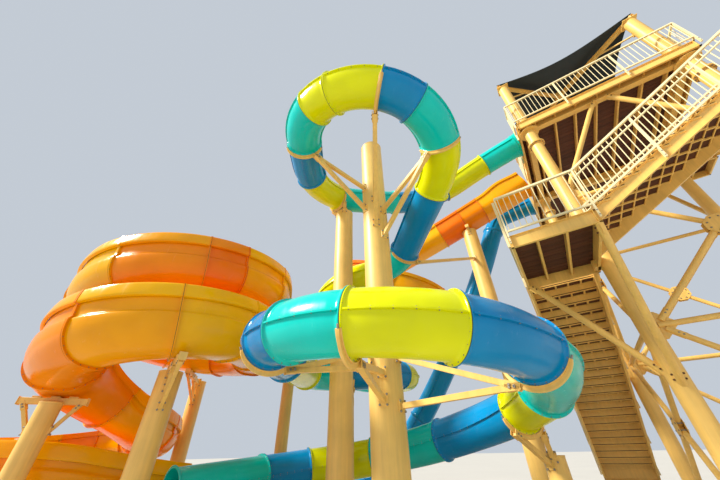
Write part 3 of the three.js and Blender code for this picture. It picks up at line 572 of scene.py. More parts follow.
def piece(name, skin, finishes, slot, *nodes, bevel=0.0):
    """The finished object of a skin, with its finishes, which hides the CAD nodes that it stands for.
    A piece that stands for a node of its own name is told apart by its material, the second word of its
    slot."""
    if name in nodes:
        name = f"{name}_{slot.split('_')[1]}"
    made = bpy.data.objects.new(name, skin.mesh(name))
    bpy.context.scene.collection.objects.link(made)
    for title in finishes:
        made.data.materials.append(finish(title))
    if bevel:
        edge = made.modifiers.new("eased_edges", "BEVEL")
        edge.width, edge.segments, edge.limit_method = bevel, 1, "ANGLE"
        edge.angle_limit = math.radians(50)
    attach(made, ROOT)
    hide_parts(*nodes)
    return made


def steel(name, skin, bevel, second="zinc_bolts"):
    """A piece of painted steel that stands for the node of its name."""
    piece(name, skin, ["sand_paint", second], "sand_steel", name, bevel=bevel)


def carried(route, s, section):
    """Points of a section, left and up, on a route's frames."""
    p, left, up, _ = route.frames(s)
    return p[:, None] + section[..., :1] * left[:, None] + section[..., 1:] * up[:, None]


def tube_length(skin, route, start, end, sizes):
    """One moulded length of tube with a flange at both ends. A closed line of distances and radii, out
    along the outside over the two lips and back along the bore, is turned about the route: each point
    lies at the route plus its radius times the cosine of an angle to the left and its sine upwards."""
    r, lip, t = sizes.radius, sizes.lip, sizes.lip_thickness
    edge = [[0, lip - 0.004], [0.003, lip], [t, lip], [t + 0.006, r + 0.018], [t + 0.02, r + 0.006]]
    edge = np.array([*edge, [t + 0.045, r]])
    steps = max(2, math.ceil((end - start) / STATION))
    body = np.stack([np.linspace(start + 0.08, end - 0.08, steps), np.full(steps, r)], -1)
    bore = np.stack([np.linspace(end, start, steps + 2), np.full(steps + 2, r - sizes.wall)], -1)
    line = np.vstack([edge + [start, 0], body, (edge * [-1, 1] + [end, 0])[::-1], bore])
    p, left, up, _ = route.frames(line[:, 0])
    skin.loft(p + line[:, 1:] * around(left, up, TUBE_SIDES), closed=True)


def side_seams(skin, route, start, end, sizes):
    """A flat bolted seam along each side of a length, where its two halves meet, carried on the route."""
    run = np.linspace(start + 0.02, end - 0.02, max(2, math.ceil((end - start) / STATION)))
    inner, outer, half = sizes.radius - 0.006, sizes.radius + sizes.seam_width, 0.011
    corners = np.array([[inner, -half], [outer, -half], [outer, half], [inner, half]])
    for side in (1, -1):
        skin.loft(carried(route, run, corners * [side, 1]))
    count = max(1, round((end - start - 0.12) / sizes.bolt_spacing))
    p, left, up, _ = route.frames(np.linspace(start + 0.08, end - 0.08, count + 1))
    for side in (1, -1):
        skin.bolts(p + side * (sizes.radius + 0.02) * left, up, 0.009, 0.019)


def joint_ring(skin, route, at, sizes):
    """The sealant between two lips and the bolts round them."""
    low, high = sizes.radius - 0.004, sizes.lip - 0.003
    p, left, up, _ = route.frames(at + np.array([-0.0035, -0.0035, 0.0035, 0.0035]))
    radii = np.array([[low], [high], [high], [low]])
    skin.loft(p + radii * around(left, up, TUBE_SIDES), closed=True, finish=2)
    p, left, up, forward = (v[0] for v in route.frames(at))
    middle = (sizes.radius + sizes.lip) / 2 + 0.003
    skin.bolts(p + middle * around(left, up, sizes.lip_bolts, 0.5), forward, 0.01, 0.026)


def entry_collar(skin, route):
    """The collar at a tube's upper end: from a circle on the tower's side to the tube's own section."""
    p, left, up, _ = (v[0] for v in route.frames(0.24))
    level, side, _, _ = (v[0] for v in route.frames(0.0))
    wall = np.array([TOWER_SIDE, *level[1:]])
    disc, tube = around(side, UP, TUBE_SIDES), around(left, up, TUBE_SIDES)
    rows = [wall - [depth, 0, 0] + r * disc for depth, r in ((0, 0.485), (0.03, 0.485), (0.045, 0.455))]
    rows += [p + 0.428 * tube, p + 0.404 * tube, wall + 0.4 * disc]
    skin.loft(np.stack(rows, 1), closed=True)
    skin.bolts(wall - [0.034, 0, 0] + 0.468 * around(side, UP, 12, 0.5), (1, 0, 0), 0.014, 0.012)


def build_tube(stem, route, lengths, nodes, sizes):
    """All lengths of one tube, a piece for each. The first begins in its collar."""
    starts = [s for s, _ in lengths]
    ends = [s - JOINT_BACK for s in starts[1:]] + [route.length - 0.003]
    for number, ((start, colour), end) in enumerate(zip(lengths, ends), 1):
        skin = Skin()
        low = start - JOINT_BACK if start else COLLAR
        tube_length(skin, route, low + 0.004, end - 0.004, sizes)
        side_seams(skin, route, low + 0.01, end - 0.01, sizes)
        if start:
            joint_ring(skin, route, low, sizes)
        else:
            entry_collar(skin, route)
        finishes = [f"{colour}_gelcoat", *JOINT_FINISHES]
        stands_for = nodes_between(nodes, start, end + JOINT_BACK)
        piece(f"{stem}_{number:02d}", skin, finishes, SLOTS[colour], *stands_for)


def changing(s, narrow, spiral, last):
    """Values at distances that change where the spiral and where the run-out begin, each over 1.6 m: the
    share of a change is three times its square less twice its cube."""
    share = np.clip((s[:, None] - [SPIRAL_START, RUNOUT_START]) / 1.6, 0, 1)
    first, second = (share * share * (3 - 2 * share)).T[..., None]
    return narrow + first * (spiral - narrow) + second * (last - spiral)


def flume_widths(s):
    """Half width, corner radius and the heights of the left and right walls at distances: narrow from
    the tower, high outside on the spiral and even on the run-out. The walls rise by a low hump, a sine
    of the distance, over the first 1.8 m."""
    narrow, spiral, last = [0.58, 0.4, 0.88, 0.88], [0.65, 0.57, 1.32, 0.85], [0.65, 0.5, 0.9, 0.9]
    made = changing(s, *np.array([narrow, spiral, last]))
    hump = np.where(s < 1.8, 0.13 * np.sin(np.pi * np.clip(s, 0, 1.8) / 1.8) ** 2, 0)
    made[:, 2:] += hump[:, None]
    return made


def flume_rims(s, side, sizes):
    """The rim's depth, how far it leans, the height of the hollow below it and the bulge of the body, at
    distances on the left side, 1, or the right, -1. A plain rim is a square fold. A wide one is a band
    that leans out towards its lower edge, over a hollow and a bulging body: the spiral's left wall and
    the run-out's right wall have it."""
    plain = np.array([sizes.rim_depth, 0.0, 0.06, 0.0])
    wide = np.array([sizes.band_depth, 1.0, 0.27, sizes.bulge])
    low = np.array([sizes.band_depth, 1.0, 0.12, sizes.bulge])
    return changing(s, plain, wide, plain) if side > 0 else changing(s, plain, plain, low)


def flume_side(s, side, offset, sizes, low=0.0, over_rim=None):
    """One side of the section from the wall's top, or from low below its rim, to the middle of the floor,
    at an offset outside the water face. A distance down the line is a height on the upright wall, and
    beyond it an angle on the corner's quarter circle. From the hollow to the bulge the offset grows over
    80 mm, as three times the square less twice the cube of the share, and it fades out round the corner.
    With over_rim the line clears the rim by that much."""
    half, corner, left, right = flume_widths(s).T[..., None]
    top = left if side > 0 else right
    depth, lean, hollow, bulge = flume_rims(s, side, sizes).T[..., None]
    wall = top - corner
    full = wall + corner * np.pi / 2
    swell = depth + hollow + np.linspace(0, 0.08, 5)
    if low:
        head = [depth + low, depth + hollow * 0.6]
    else:
        head = [0 * depth, depth * 0.5, depth - 0.002, depth + 0.012, depth + hollow * 0.6]
    rest = swell[:, -1:] + (full - swell[:, -1:]) * np.linspace(0, 1, 14)[1:]
    down = np.hstack([*head, swell, rest])
    share = np.clip((down - swell[:, :1]) / 0.08, 0, 1)
    fade = np.clip((full - down) / (0.75 * corner), 0, 1)
    out = offset + bulge * (1.8 * share**2 * (3 - 2 * share) - 0.8) * fade**2 * (3 - 2 * fade)
    if over_rim is not None:
        fall = np.sin(np.clip(down / depth, 0, 1) * np.pi / 2)
        reach = sizes.wall + sizes.rim_width * (1 - 0.75 * lean * (1 - fall))
        out = np.where(down < depth, reach + over_rim, out)
    angle = np.clip((down - wall) / corner, 0, np.pi / 2)
    x = half - corner + (corner + out) * np.cos(angle)
    y = np.where(down < wall, top - down, corner - (corner + out) * np.sin(angle))
    return np.stack([side * x, y], -1)


def flume_line(s, offset, sizes, low=0.0, over_rim=None):
    """The line of a flume's section from its left top, under the floor and up to its right top."""
    left = flume_side(s, 1, offset, sizes, low, over_rim)
    right = flume_side(s, -1, offset, sizes, low, over_rim)
    return np.concatenate([left, right[:, ::-1]], 1)


def flume_rim(s, side, sizes):
    """The closed section of a rim at distances: over the wall's top, out, down its face, which swells as
    a sine from the crown to the lower edge, and back to the wall."""
    half, _, left, right = flume_widths(s).T[..., None]
    top = left if side > 0 else right
    depth, lean, _, _ = flume_rims(s, side, sizes).T[..., None]
    t, lip = sizes.wall, sizes.rim_width
    share = np.linspace(0.04, 0.97, 7)
    crown = lip * (1 - 0.75 * lean)
    face = t + crown + (lip - crown) * np.sin(share * np.pi / 2)
    one = np.ones_like(depth)
    x = [0.001 * one, t + 0.3 * crown, t + crown - 0.007, face]
    x += [(t + lip - 0.006) * one, t * one, 0.006 * one]
    y = [0.001 * one, 0.002 * one, 0 * one, -depth * share, -depth, -depth - 0.012, -depth - 0.012]
    return np.stack([side * (half + np.hstack(x)), top + np.hstack(y)], -1)


def flume_shell(s, sizes):
    """The closed section of the shell at distances: its water face, then its outside below the rims."""
    inner = flume_line(s, 0.0, sizes)
    outer = flume_line(s, sizes.wall, sizes, low=-0.02)
    return np.concatenate([inner, outer[:, ::-1]], 1)


def flume_joint(skin, at, sizes):
    """Two ribs round the outside of the shell, the sealant between them and their bolts."""
    t = sizes.wall
    for low, high, lower, paint in ((-0.02, -0.003, 0, 0), (0.003, 0.02, 0, 0), (-0.003, 0.003, 0.005, 2)):
        s = np.array([at + low, at + high])
        inner = carried(FLUME, s, flume_line(s, t - 0.002, sizes))
        outer = carried(FLUME, s, flume_line(s, t + sizes.rib - lower, sizes, over_rim=0.012 - lower))
        skin.loft(np.stack([inner[0], outer[0], outer[1], inner[1]], 1), finish=paint)
    s = np.array([at])
    line = flume_line(s, t + 0.024, sizes, low=0.03)[0]
    along = np.concatenate([[0], np.cumsum(np.linalg.norm(np.diff(line, axis=0), axis=1))])
    spots = np.linspace(0, along[-1], max(2, round(along[-1] / sizes.bolt_spacing)))
    spread = np.stack([np.interp(spots, along, line[:, k]) for k in (0, 1)], -1)
    skin.bolts(carried(FLUME, s, spread)[0], FLUME.frames(at)[3], 0.01, 0.028)


def flume_mouth(skin, sizes):
    """The start tub's end wall: a plate with the flume's outline against the tower's side."""
    _, y, z = FLUME.frames(0.0)[0][0]
    rows = []
    for x, offset in ((TOWER_SIDE, -0.002), (TOWER_SIDE, 0.06), (-0.33, 0.06), (-0.33, -0.002)):
        line = flume_line(np.array([0.0]), offset, sizes)[0]
        rows.append(np.stack([np.full(len(line), x), y - line[:, 0], z + line[:, 1] * 0.96], -1))
    skin.loft(np.stack(rows, 1))


def build_flume(sizes):
    """All lengths of the flume, a piece for each, with its rims in a paler colour where they are wide."""
    starts = [s for s, _ in FLUME_LENGTHS]
    ends = [*starts[1:], FLUME.length - 0.004]
    for number, ((start, colour), end) in enumerate(zip(FLUME_LENGTHS, ends), 1):
        skin = Skin()
        low = start + (0.003 if start else 0.012)
        s = np.linspace(low, end - 0.003, max(3, math.ceil((end - low) / 0.12)))
        skin.loft(carried(FLUME, s, flume_shell(s, sizes)))
        for side in (1, -1):
            wide = flume_rims(s[:1], side, sizes)[0, 1] > 0.5
            skin.loft(carried(FLUME, s, flume_rim(s, side, sizes)), finish=3 if wide else 0)
        if start:
            flume_joint(skin, start, sizes)
        else:
            flume_mouth(skin, sizes)
        finishes = [f"{colour}_gelcoat", *JOINT_FINISHES, f"{BAND_COLOURS[colour]}_gelcoat"]
        nodes = nodes_between(FLUME_NODES, start, end)
        piece(f"flume_{number:02d}", skin, finishes, SLOTS[colour], *nodes)


SEAT = 0.463  # radius of the tube's flanges in the CAD, which the cradles lie under
HELIX = (-4.49, -3.15)  # the big column that the aqua tube winds round
HELIX_RADIUS = 0.305
# Its cradles: how far along the tube, how far below that its two struts leave the column, their width
HELIX_CRADLES = (
    (10.45, (0.9, 1.8), 0.09),
    (13.25, (0.9, 1.8), 0.09),
    (15.05, (0.9, 1.8), 0.09),
    (38.25, (0.2, -0.15), 0.085),
    (39.95, (0.15, 0.65), 0.085),
    (42.55, (-0.4, 0.5), 0.085),
)
# Name, place, diameter, top and the distance along the aqua tube of the column's cradle
HELIX_POSTS = (
    ("helix_column_back", -6.26, -2.08, 0.56, 8.25, 7.65),
    ("helix_column_right", -2.49, 0.04, 0.41, 1.5, 45.6),
    ("helix_column_far", -7.1, -0.46, 0.17, 3.0, 31.6),
)
# Name, place, diameter and the distance along the flume of the column's head
FLUME_POSTS = (
    ("flume_column_straight", -3.25, 3.65, 0.61, 2.95),
    ("flume_column_link", -10.33, 0.196, 0.4, 21.0),
    ("spiral_column_far", -13.33, -1.434, 0.46, 34.3),
    ("spiral_column_near", -9.11, -4.624, 0.48, 41.0),
    ("spiral_column_left", -11.03, -5.894, 0.4, 44.4),
)
# Column, distance along the flume and height of each lower arm
LOWER_ARMS = (
    ("flume_column_straight", 13.6, 5.0),
    ("spiral_column_far", 48.8, 1.2),
    ("spiral_column_left", 55.0, 0.88),
)
# Column, distance along the aqua tube, height and side of each cradle on a flume's column
TUBE_ARMS = (("flume_column_straight", 18.55, 8.4, -1), ("flume_column_link", 24.6, 3.7, 1))


def cradle(skin, route, end):
    """A steel band round a flange's lower half: a strap and a web whose depth swells, as a sine, from
    its two ends to its middle, bent about the route."""
    angle = np.linspace(np.pi * 1.15, np.pi * 1.88, 25)[:, None]
    p, left, up, forward = (v[0] for v in route.frames(end - JOINT_BACK))
    out = np.cos(angle) * left + np.sin(angle) * up
    swell = 0.03 + 0.045 * np.sin(np.linspace(0, np.pi, 25)) ** 0.7
    inner = SEAT + 0.004
    for low, high, half in ((0.0, np.full(25, 0.012), 0.04), (0.01, swell, 0.02)):
        near, far = np.full((25, 1), inner + low), (inner + high)[:, None]
        corners = [(near, -half), (far, -half), (far, half), (near, half)]
        skin.loft(np.stack([p + r * out + w * forward for r, w in corners], 1))
    for k in (0, -1):
        skin.bolts(p + (inner + 0.016) * out[k], np.cross(out[k], forward), 0.016, 0.05)


def cradle_point(route, end, side):
    """Where a strut meets a cradle, at 54 degrees below its side."""
    reach, angle = SEAT + 0.07, math.radians(54)
    return route.beside(end - JOINT_BACK, side * reach * math.cos(angle), -reach * math.sin(angle))[0]


def strut(skin, start, end, width, radius):
    """A square arm from a column's axis to an end, with a saddle plate and bolts where it leaves the
    column and a bolted fork at its end."""
    start, end = np.asarray(start, float), np.asarray(end, float)
    skin.bars([start], [end], width, width)
    along = unit(end - start)
    level, side = unit(along * [1, 1, 0]), unit(np.cross(UP, along))
    face = start + along * (radius / max(0.2, float(np.linalg.norm(along[:2]))))
    w = width * 0.95
    skin.bars([face - level * 0.02], [face + level * 0.016], 2 * w, 2.3 * w)
    spots = [face + level * 0.02 + w * (a * side + b * UP) for a in (-0.78, 0.78) for b in (-0.95, 0.95)]
    skin.bolts(spots, level, 0.02, 0.016)
    fork = end - along * width * 0.7
    for a in (-1, 1):
        shift = a * (width / 2 + 0.008) * side
        skin.bars([fork - along * width * 1.1 + shift], [end + along * 0.05 + shift], 0.014, width * 1.15)
    skin.bolts([fork - along * 0.35 * width, fork + along * 0.45 * width], side, 0.02, width / 2 + 0.03)


def base_plate(skin, x, y, half, radius):
    """A square base plate with eight triangular ribs and holding-down bolts."""
    thick = 0.04
    skin.boxes([x - half, y - half, 0], [x + half, y + half, thick])
    near, far = radius - 0.01, half - 0.02
    outline = [[near, thick], [far, thick], [far, thick + 0.03], [near, thick + 0.26]]
    for way in circle(8, 0.5):
        skin.plate(outline, (x, y, 0), (*way, 0), UP, 0.014)
    spots = [(a * 0.86, b * c) for c in (0.86, 0.3) for a in (-1, 1) for b in (-1, 1)]
    skin.bolts([(x + a * half, y + b * half, thick + 0.02) for a, b in spots], UP, 0.024, 0.022)


def column(name, x, y, diameter, top, parts):
    """A round column with what it carries: its pipe, a cap plate with a raised rim, and its base."""
    skin = Skin()
    r = diameter / 2
    profile = [[r, 0.03], [r, top - 0.03], [r + 0.006, top - 0.028], [r + 0.006, top - 0.004]]
    profile += [[r - 0.004, top], [r - 0.03, top], [r - 0.034, top - 0.008], [0.02, top - 0.008]]
    skin.turned(profile, x, y)
    base_plate(skin, x, y, diameter * 0.8, r)
    for part, *facts in parts:
        part(skin, *facts)
    steel(name, skin, 0.004)


def tube_strut(skin, end, foot, side, width, radius):
    """A strut from a column to a cradle of the aqua tube."""
    strut(skin, foot, cradle_point(AQUA, end, side), width, radius)


def flume_arm(skin, end, foot, radius):
    """What holds a flume: a beam across under its floor with end plates, short risers to the floor, and
    the arm and two braces that carry it from the column."""
    size = 0.12  # of the beam and the arm
    p, left, up, forward = (v[0] for v in FLUME.frames(end))
    half = float(flume_widths(np.array([end]))[0, 0]) - 0.05
    under = p - up * 0.11
    skin.bars([under - left * half], [under + left * half], size, size)
    for a in (-1, 0, 1):
        spot = p + left * a * (half - 0.28) - up * 0.055
        skin.bars([spot - forward * 0.07], [spot + forward * 0.07], 0.16, 0.05, up=up)
    for a in (-1, 1):
        tip = under + a * left * half
        skin.bars([tip - a * left * 0.012], [tip + a * left * 0.002], size * 1.25, size * 1.25)
    head = np.asarray(foot)
    strut(skin, head, under - up * 0.02, size, radius)
    low = head - UP * min(0.75, foot[2] - 0.35)
    for a in (-1, 1):
        strut(skin, low, under + a * left * half * 0.8 - up * size / 2, 0.07, radius)


def build_supports():
    """Every column with what it carries: the helix's, the steep tube's and the flume's."""
    parts = []
    for end, drops, width in HELIX_CRADLES:
        z = AQUA.frames(end)[0][0, 2]
        parts.append((cradle, AQUA, end))
        parts += [(tube_strut, end, (*HELIX, z - drop), 1, width, HELIX_RADIUS) for drop in drops]
    column("helix_column_centre", *HELIX, 2 * HELIX_RADIUS, 9.3, parts)
    for name, x, y, diameter, top, end in HELIX_POSTS:
        parts = [(cradle, AQUA, end)]
        parts += [(tube_strut, end, (x, y, top - 0.25), side, 0.09, diameter / 2) for side in (1, -1)]
        column(name, x, y, diameter, top, parts)
    x, y, z = STEEP.frames(9.55)[0][0]
    column("steep_tube_column", x, y, 0.3, z - 0.5, [(cradle, STEEP, 9.55)])
    for name, x, y, diameter, end in FLUME_POSTS:
        top = FLUME.frames(end)[0][0, 2] - 0.13
        parts = [(flume_arm, end, (x, y, top - 0.09), diameter / 2)]
        for post, at, height, side in TUBE_ARMS:
            if post == name:
                parts += [(cradle, AQUA, at), (tube_strut, at, (x, y, height), side, 0.09, diameter / 2)]
        parts += [(flume_arm, at, (x, y, z), diameter / 2) for post, at, z in LOWER_ARMS if post == name]
        column(name, x, y, diameter, top, parts)


# The tower's places
SPACING = 4.1  # between the masts
MIDDLE = SPACING / 2
MAST_TOP = 13.3
DECK_TOP = 10.75
DECK_BACK = 6.3
LANDING_HIGH, LANDING_MIDDLE, LANDING_LOW = 7.77, 5.37, 1.0
STAIR_OUTER, STAIR_INNER, STAIR_FRONT, STAIR_RIGHT = -1.8, -0.24, -2.14, 5.9
MASTS = {"front_left": (0, 0), "front_right": (4.1, 0), "back_left": (0, 4.1), "back_right": (4.1, 4.1)}
BEAM = 0.3  # depth of the fascia channels
RISE = 0.185  # the riser that every flight comes close to
BRACE_LEVELS = (0.3, 3.6, 7.2)


def build_masts(sizes):
    """Four round masts with a bolted splice, a bolted head plate and a ribbed base."""
    r, z = sizes.mast / 2, sizes.splice
    profile = [[r, 0.03], [r, z - 0.03], [r + 0.07, z - 0.03], [r + 0.07, z - 0.003], [r + 0.062, z]]
    profile += [[r + 0.07, z + 0.003], [r + 0.07, z + 0.03], [r, z + 0.03], [r, MAST_TOP - 0.02]]
    profile += [[r + 0.02, MAST_TOP - 0.018], [r + 0.02, MAST_TOP - 0.001]]
    for name, (x, y) in MASTS.items():
        skin = Skin()
        skin.turned(profile, x, y)
        spots = np.hstack([(x, y) + (r + 0.036) * circle(12), np.full((12, 1), z)])
        skin.bolts(spots, UP, 0.018, 0.055)
        base_plate(skin, x, y, 0.35, r)
        steel(f"mast_{name}", skin, 0.003)


def planks(skin, low, high, top, board):
    """Boards side by side along X, with gaps of 8 mm."""
    count = max(1, round((high[1] - low[1]) / board))
    pitch = (high[1] - low[1]) / count
    y = low[1] + np.arange(count) * pitch
    one = np.ones(count)
    lows = np.stack([low[0] * one, y + 0.004, (top - 0.045) * one], -1)
    highs = np.stack([high[0] * one, y + pitch - 0.004, (top - 0.004) * one], -1)
    skin.boxes(lows, highs, 1)


def deck(skin, low, high, top, sizes, frame_sides="xXyY"):
    """A deck: channels round its edge with their backs inwards, joists along Y and boards along X."""
    (x0, y0), (x1, y1) = low, high
    middle, web = top - BEAM / 2, 0.06
    sides = {
        "y": ((x0, y0), (x1, y0)),
        "Y": ((x1, y1), (x0, y1)),
        "X": ((x1, y0), (x1, y1)),
        "x": ((x0, y1), (x0, y0)),
    }
    for key in frame_sides:
        a, b = sides[key]
        skin.beam((*a, middle), (*b, middle), channel(web, BEAM, 0.012))
    count = max(1, round((x1 - x0) / sizes.joist_spacing))
    for x in x0 + np.arange(1, count) * (x1 - x0) / count:
        skin.beam((x, y0 + web, top - 0.125), (x, y1 - web, top - 0.125), channel(0.05, 0.16, 0.008))
    planks(skin, (x0 + web, y0 + web), (x1 - web, y1 - web), top, sizes.board)


def knee(skin, start, end, sizes):
    """A pipe that holds up a deck, with a gusset and a bolted plate at its head and foot."""
    start, end = np.asarray(start, float), np.asarray(end, float)
    skin.pipes([start], [end], sizes.knee / 2, 24)
    along = unit(end - start)
    side = unit(np.cross(UP, along))
    for spot, sign in ((start + along * 0.25, 1), (end - along * 0.14, -1)):
        skin.bars([spot - along * 0.1], [spot + along * 0.1], 0.02, sizes.knee * 1.5)
        skin.bolts([spot + sign * along * k for k in (-0.05, 0.05)], side, 0.018, 0.1)


def build_top_deck(sizes):
    """The top deck in two fields, with beams between the masts on round seats, and its four knees."""
    skin = Skin()
    right = SPACING + 0.3
    deck(skin, (-0.3, -0.3), (right, DECK_BACK), DECK_TOP, sizes)
    deck(skin, (right, 5.2), (STAIR_RIGHT, DECK_BACK), DECK_TOP, sizes, "yXY")
    beam = i_section(0.18, 0.31, 0.014)
    z = DECK_TOP - BEAM - 0.06 + 0.155
    for y in (0, SPACING):
        skin.beam((0.17, y, z), (SPACING - 0.17, y, z), beam)
        skin.beam((-0.17, y, z), (-0.29, y, z), beam)
    for x in (0, SPACING):
        skin.beam((x, 0.17, z), (x, SPACING - 0.17, z), beam)
        skin.beam((x, SPACING + 0.17, z), (x, DECK_BACK - 0.1, z), beam)
    for x, y in MASTS.values():
        skin.turned([[0.171, z - 0.2], [0.3, z - 0.2], [0.3, z - 0.185], [0.171, z - 0.185]], x, y, 32)
    head, foot, back = DECK_TOP - BEAM + 0.04, 7.4, DECK_BACK - 0.2
    knee(skin, (0, 0, foot), (1.9, 0, head), sizes)
    knee(skin, (SPACING, 0, foot), (2.2, 0, head), sizes)
    knee(skin, (0, SPACING, foot), (0, back, head), sizes)
    knee(skin, (SPACING, SPACING, foot), (SPACING, back, head), sizes)
    start_frame(skin)
    steel("top_deck", skin, 0.004, "composite_boards")


def start_frame(skin):
    """The panel that the steep tube starts from: a square sheet with a round hole, drawn from rings that
    change from a circle to a square."""
    _, y, z = STEEP.frames(0.0)[0][0]
    ring = circle(48, 0.5)
    hole = ring * 0.385
    edge = ring / np.abs(ring).max(1, keepdims=True) * 0.55
    low, high = DECK_TOP - 0.02 - z, 0.56
    lower, upper = np.maximum(edge[:, 1] * -low / 0.55, low), edge[:, 1] * high / 0.55
    edge = np.stack([edge[:, 0], np.where(edge[:, 1] < 0, lower, upper)], -1)
    rows = [
        np.stack([np.full(48, x), y + line[:, 0], z + line[:, 1]], -1)
        for x, line in ((-0.298, hole), (-0.298, edge), (-0.262, edge), (-0.262, hole))
    ]
    skin.loft(np.stack(rows, 1), closed=True)
    for a in (-0.55, 0.55):
        skin.boxes([-0.3, y + a - 0.03, DECK_TOP - 0.02], [-0.24, y + a + 0.03, z + high - 0.001])


def build_landings(sizes):
    """The three landings with their knees, and the lowest one's posts and its flight to the ground."""
    skin = Skin()
    right = -0.171
    deck(skin, (STAIR_OUTER, STAIR_FRONT), (right, 0.25), LANDING_MIDDLE, sizes)
    z = LANDING_MIDDLE - BEAM + 0.1
    skin.boxes([-0.3, -0.1, z - 0.1], [right, 0.1, z + 0.1])
    head = LANDING_MIDDLE - BEAM + 0.04
    knee(skin, (-0.06, 0, 2.64), (STAIR_OUTER + 0.08, 0.15, head), sizes)
    knee(skin, (0, -0.06, 2.43), (right - 0.06, STAIR_FRONT + 0.08, head), sizes)
    steel("landing_middle", skin, 0.004, "composite_boards")
    skin = Skin()
    deck(skin, (3.9, STAIR_FRONT), (STAIR_RIGHT, 0.2), LANDING_HIGH, sizes)
    head = LANDING_HIGH - BEAM + 0.04
    knee(skin, (SPACING + 0.06, 0, 5.2), (STAIR_RIGHT - 0.08, 0.1, head), sizes)
    knee(skin, (SPACING, -0.06, 4.9), (SPACING, STAIR_FRONT + 0.08, head), sizes)
    steel("landing_high", skin, 0.004, "composite_boards")
    skin = Skin()
    deck(skin, (STAIR_OUTER, 7.6), (STAIR_INNER, 9.0), LANDING_LOW, sizes)
    for x in (STAIR_OUTER + 0.06, STAIR_INNER - 0.06):
        for y in (7.7, 8.94):
            skin.boxes([x - 0.055, y - 0.055, 0.012], [x + 0.055, y + 0.055, LANDING_LOW - BEAM])
            skin.boxes([x - 0.06, y - 0.1, 0], [x + 0.06, y + 0.06, 0.014])
    flight(skin, "y", 10.56, 8.97, (STAIR_OUTER, STAIR_INNER), 0.0, LANDING_LOW)
    steel("landing_low", skin, 0.004, "composite_boards")


def flight(skin, axis, foot, head, sides, low, high):
    """A flight: two channel stringers with upright ends, and for each rise a folded riser, a dark board
    as its tread, and the bars of the frame that the board lies on."""
    rises = round((high - low) / RISE)
    rise, run = (high - low) / rises, head - foot
    going = run / rises
    near, far = sides

    def at(along, across, z):
        return (along, across, z) if axis == "x" else (across, along, z)

    end_z = high - rise * 0.15
    ring = np.array(channel(0.06, 0.29, 0.01)) - [0, 0.11]
    for inner, face in ((near, 1), (far, -1)):
        rows = []
        for share in (0, 1 - 0.25 / abs(run), 1):
            z = low + (high - low) * share
            up = np.clip(z + ring[:, 1], 0.004, end_z if share == 1 else None)
            rows.append([at(foot + run * share, inner + face * w, h) for w, h in zip(ring[:, 0], up)])
        skin.loft(rows)
    k = np.arange(rises)
    step = math.copysign(1, run)
    left, right = near + 0.05, far - 0.05

    def boxes(y0, y1, a, b, z0, z1, finish=0):
        """Boxes for every step: from y0 to y1 across, a to b along and z0 to z1 high."""
        one = np.ones_like(a)
        lows = np.stack(at(np.minimum(a, b), y0 * one, z0), -1)
        highs = np.stack(at(np.maximum(a, b), y1 * one, z1), -1)
        skin.boxes(lows, highs, finish)

    edge, tall = foot + going * k, low + rise * k
    boxes(left, right, edge, edge + 0.006 * step, np.maximum(tall - 0.02, 0.001), tall + rise - 0.05)
    front, top = edge[:-1], low + rise * k[1:]
    back = front + going
    nose = np.where(k[:-1] > 0, 0.024, 0.0) * step
    boxes(left, right, front - nose + 0.004 * step, back, top - 0.04, top - 0.006, 1)
    boxes(left, right, front - nose, front + 0.03 * step, top - 0.065, top - 0.001)
    boxes(left, right, back - 0.03 * step, back - 0.002 * step, top - 0.062, top - 0.03)
    for middle in np.linspace(left, right, 6):
        boxes(middle - 0.02, middle + 0.02, front, back, top - 0.075, top - 0.038)


# Name, axis, where the foot and the head lie on it, the two sides, and the heights of foot and head
FLIGHTS = (
    ("flight_low", "y", 7.598, 0.2505, (STAIR_OUTER, STAIR_INNER), LANDING_LOW, LANDING_MIDDLE),
    ("flight_middle", "x", -0.17, 3.8995, (STAIR_FRONT, -0.5), LANDING_MIDDLE, LANDING_HIGH),
    ("flight_high", "y", 0.2005, 5.1995, (4.48, STAIR_RIGHT), LANDING_HIGH, DECK_TOP),
)


def build_flights():
    """The three flights between the landings and the top deck."""
    for name, *rest in FLIGHTS:
        skin = Skin()
        flight(skin, *rest)
        steel(name, skin, 0.003, "composite_boards")


# A post's centre lies 30 mm beyond the edge that it is bolted to
OUTER, INNER = STAIR_OUTER - 0.0303, STAIR_INNER + 0.0303
FRONT, RIGHT, LEFT_END, RIGHT_END, BACK = -2.1703, 5.9303, -0.3303, 4.4303, 6.3303
RAILINGS = {
    "railing_lower_outer": [(OUTER, -2.05, 5.37), (OUTER, 0.25, 5.37), (OUTER, 7.56, 1.06)],
    "railing_lower_inner": [(INNER, 0.42, 5.31), (INNER, 7.56, 1.06)],
    "railing_middle_outer": [
        (-1.77, FRONT, 5.37),
        (-0.1703, FRONT, 5.37),
        (3.9, FRONT, 7.77),
        (5.81, FRONT, 7.77),
    ],
    "railing_middle_inner": [(0.04, -0.4697, 5.49), (3.84, -0.4697, 7.71)],
    "railing_high_outer": [
        (RIGHT, -2.11, 7.77),
        (RIGHT, 0.2, 7.77),
        (RIGHT, 5.2, 10.75),
        (RIGHT, 6.21, 10.75),
    ],
    "railing_high_inner": [(4.4497, 0.3, 7.85), (4.4497, 5.08, 10.69)],
    "railing_top_front": [
        (LEFT_END, 0.25, 10.75),
        (LEFT_END, LEFT_END, 10.75),
        (RIGHT_END, LEFT_END, 10.75),
        (RIGHT_END, 0.15, 10.75),
    ],
    "railing_top_left": [(LEFT_END, 1.48, 10.75), (LEFT_END, 2.88, 10.75)],
    "railing_top_back": [(5.81, BACK, 10.75), (-0.27, BACK, 10.75)],
}
POST_DROP = {"railing_high_inner": 0.12}  # how far the posts reach below the line, where not 220 mm


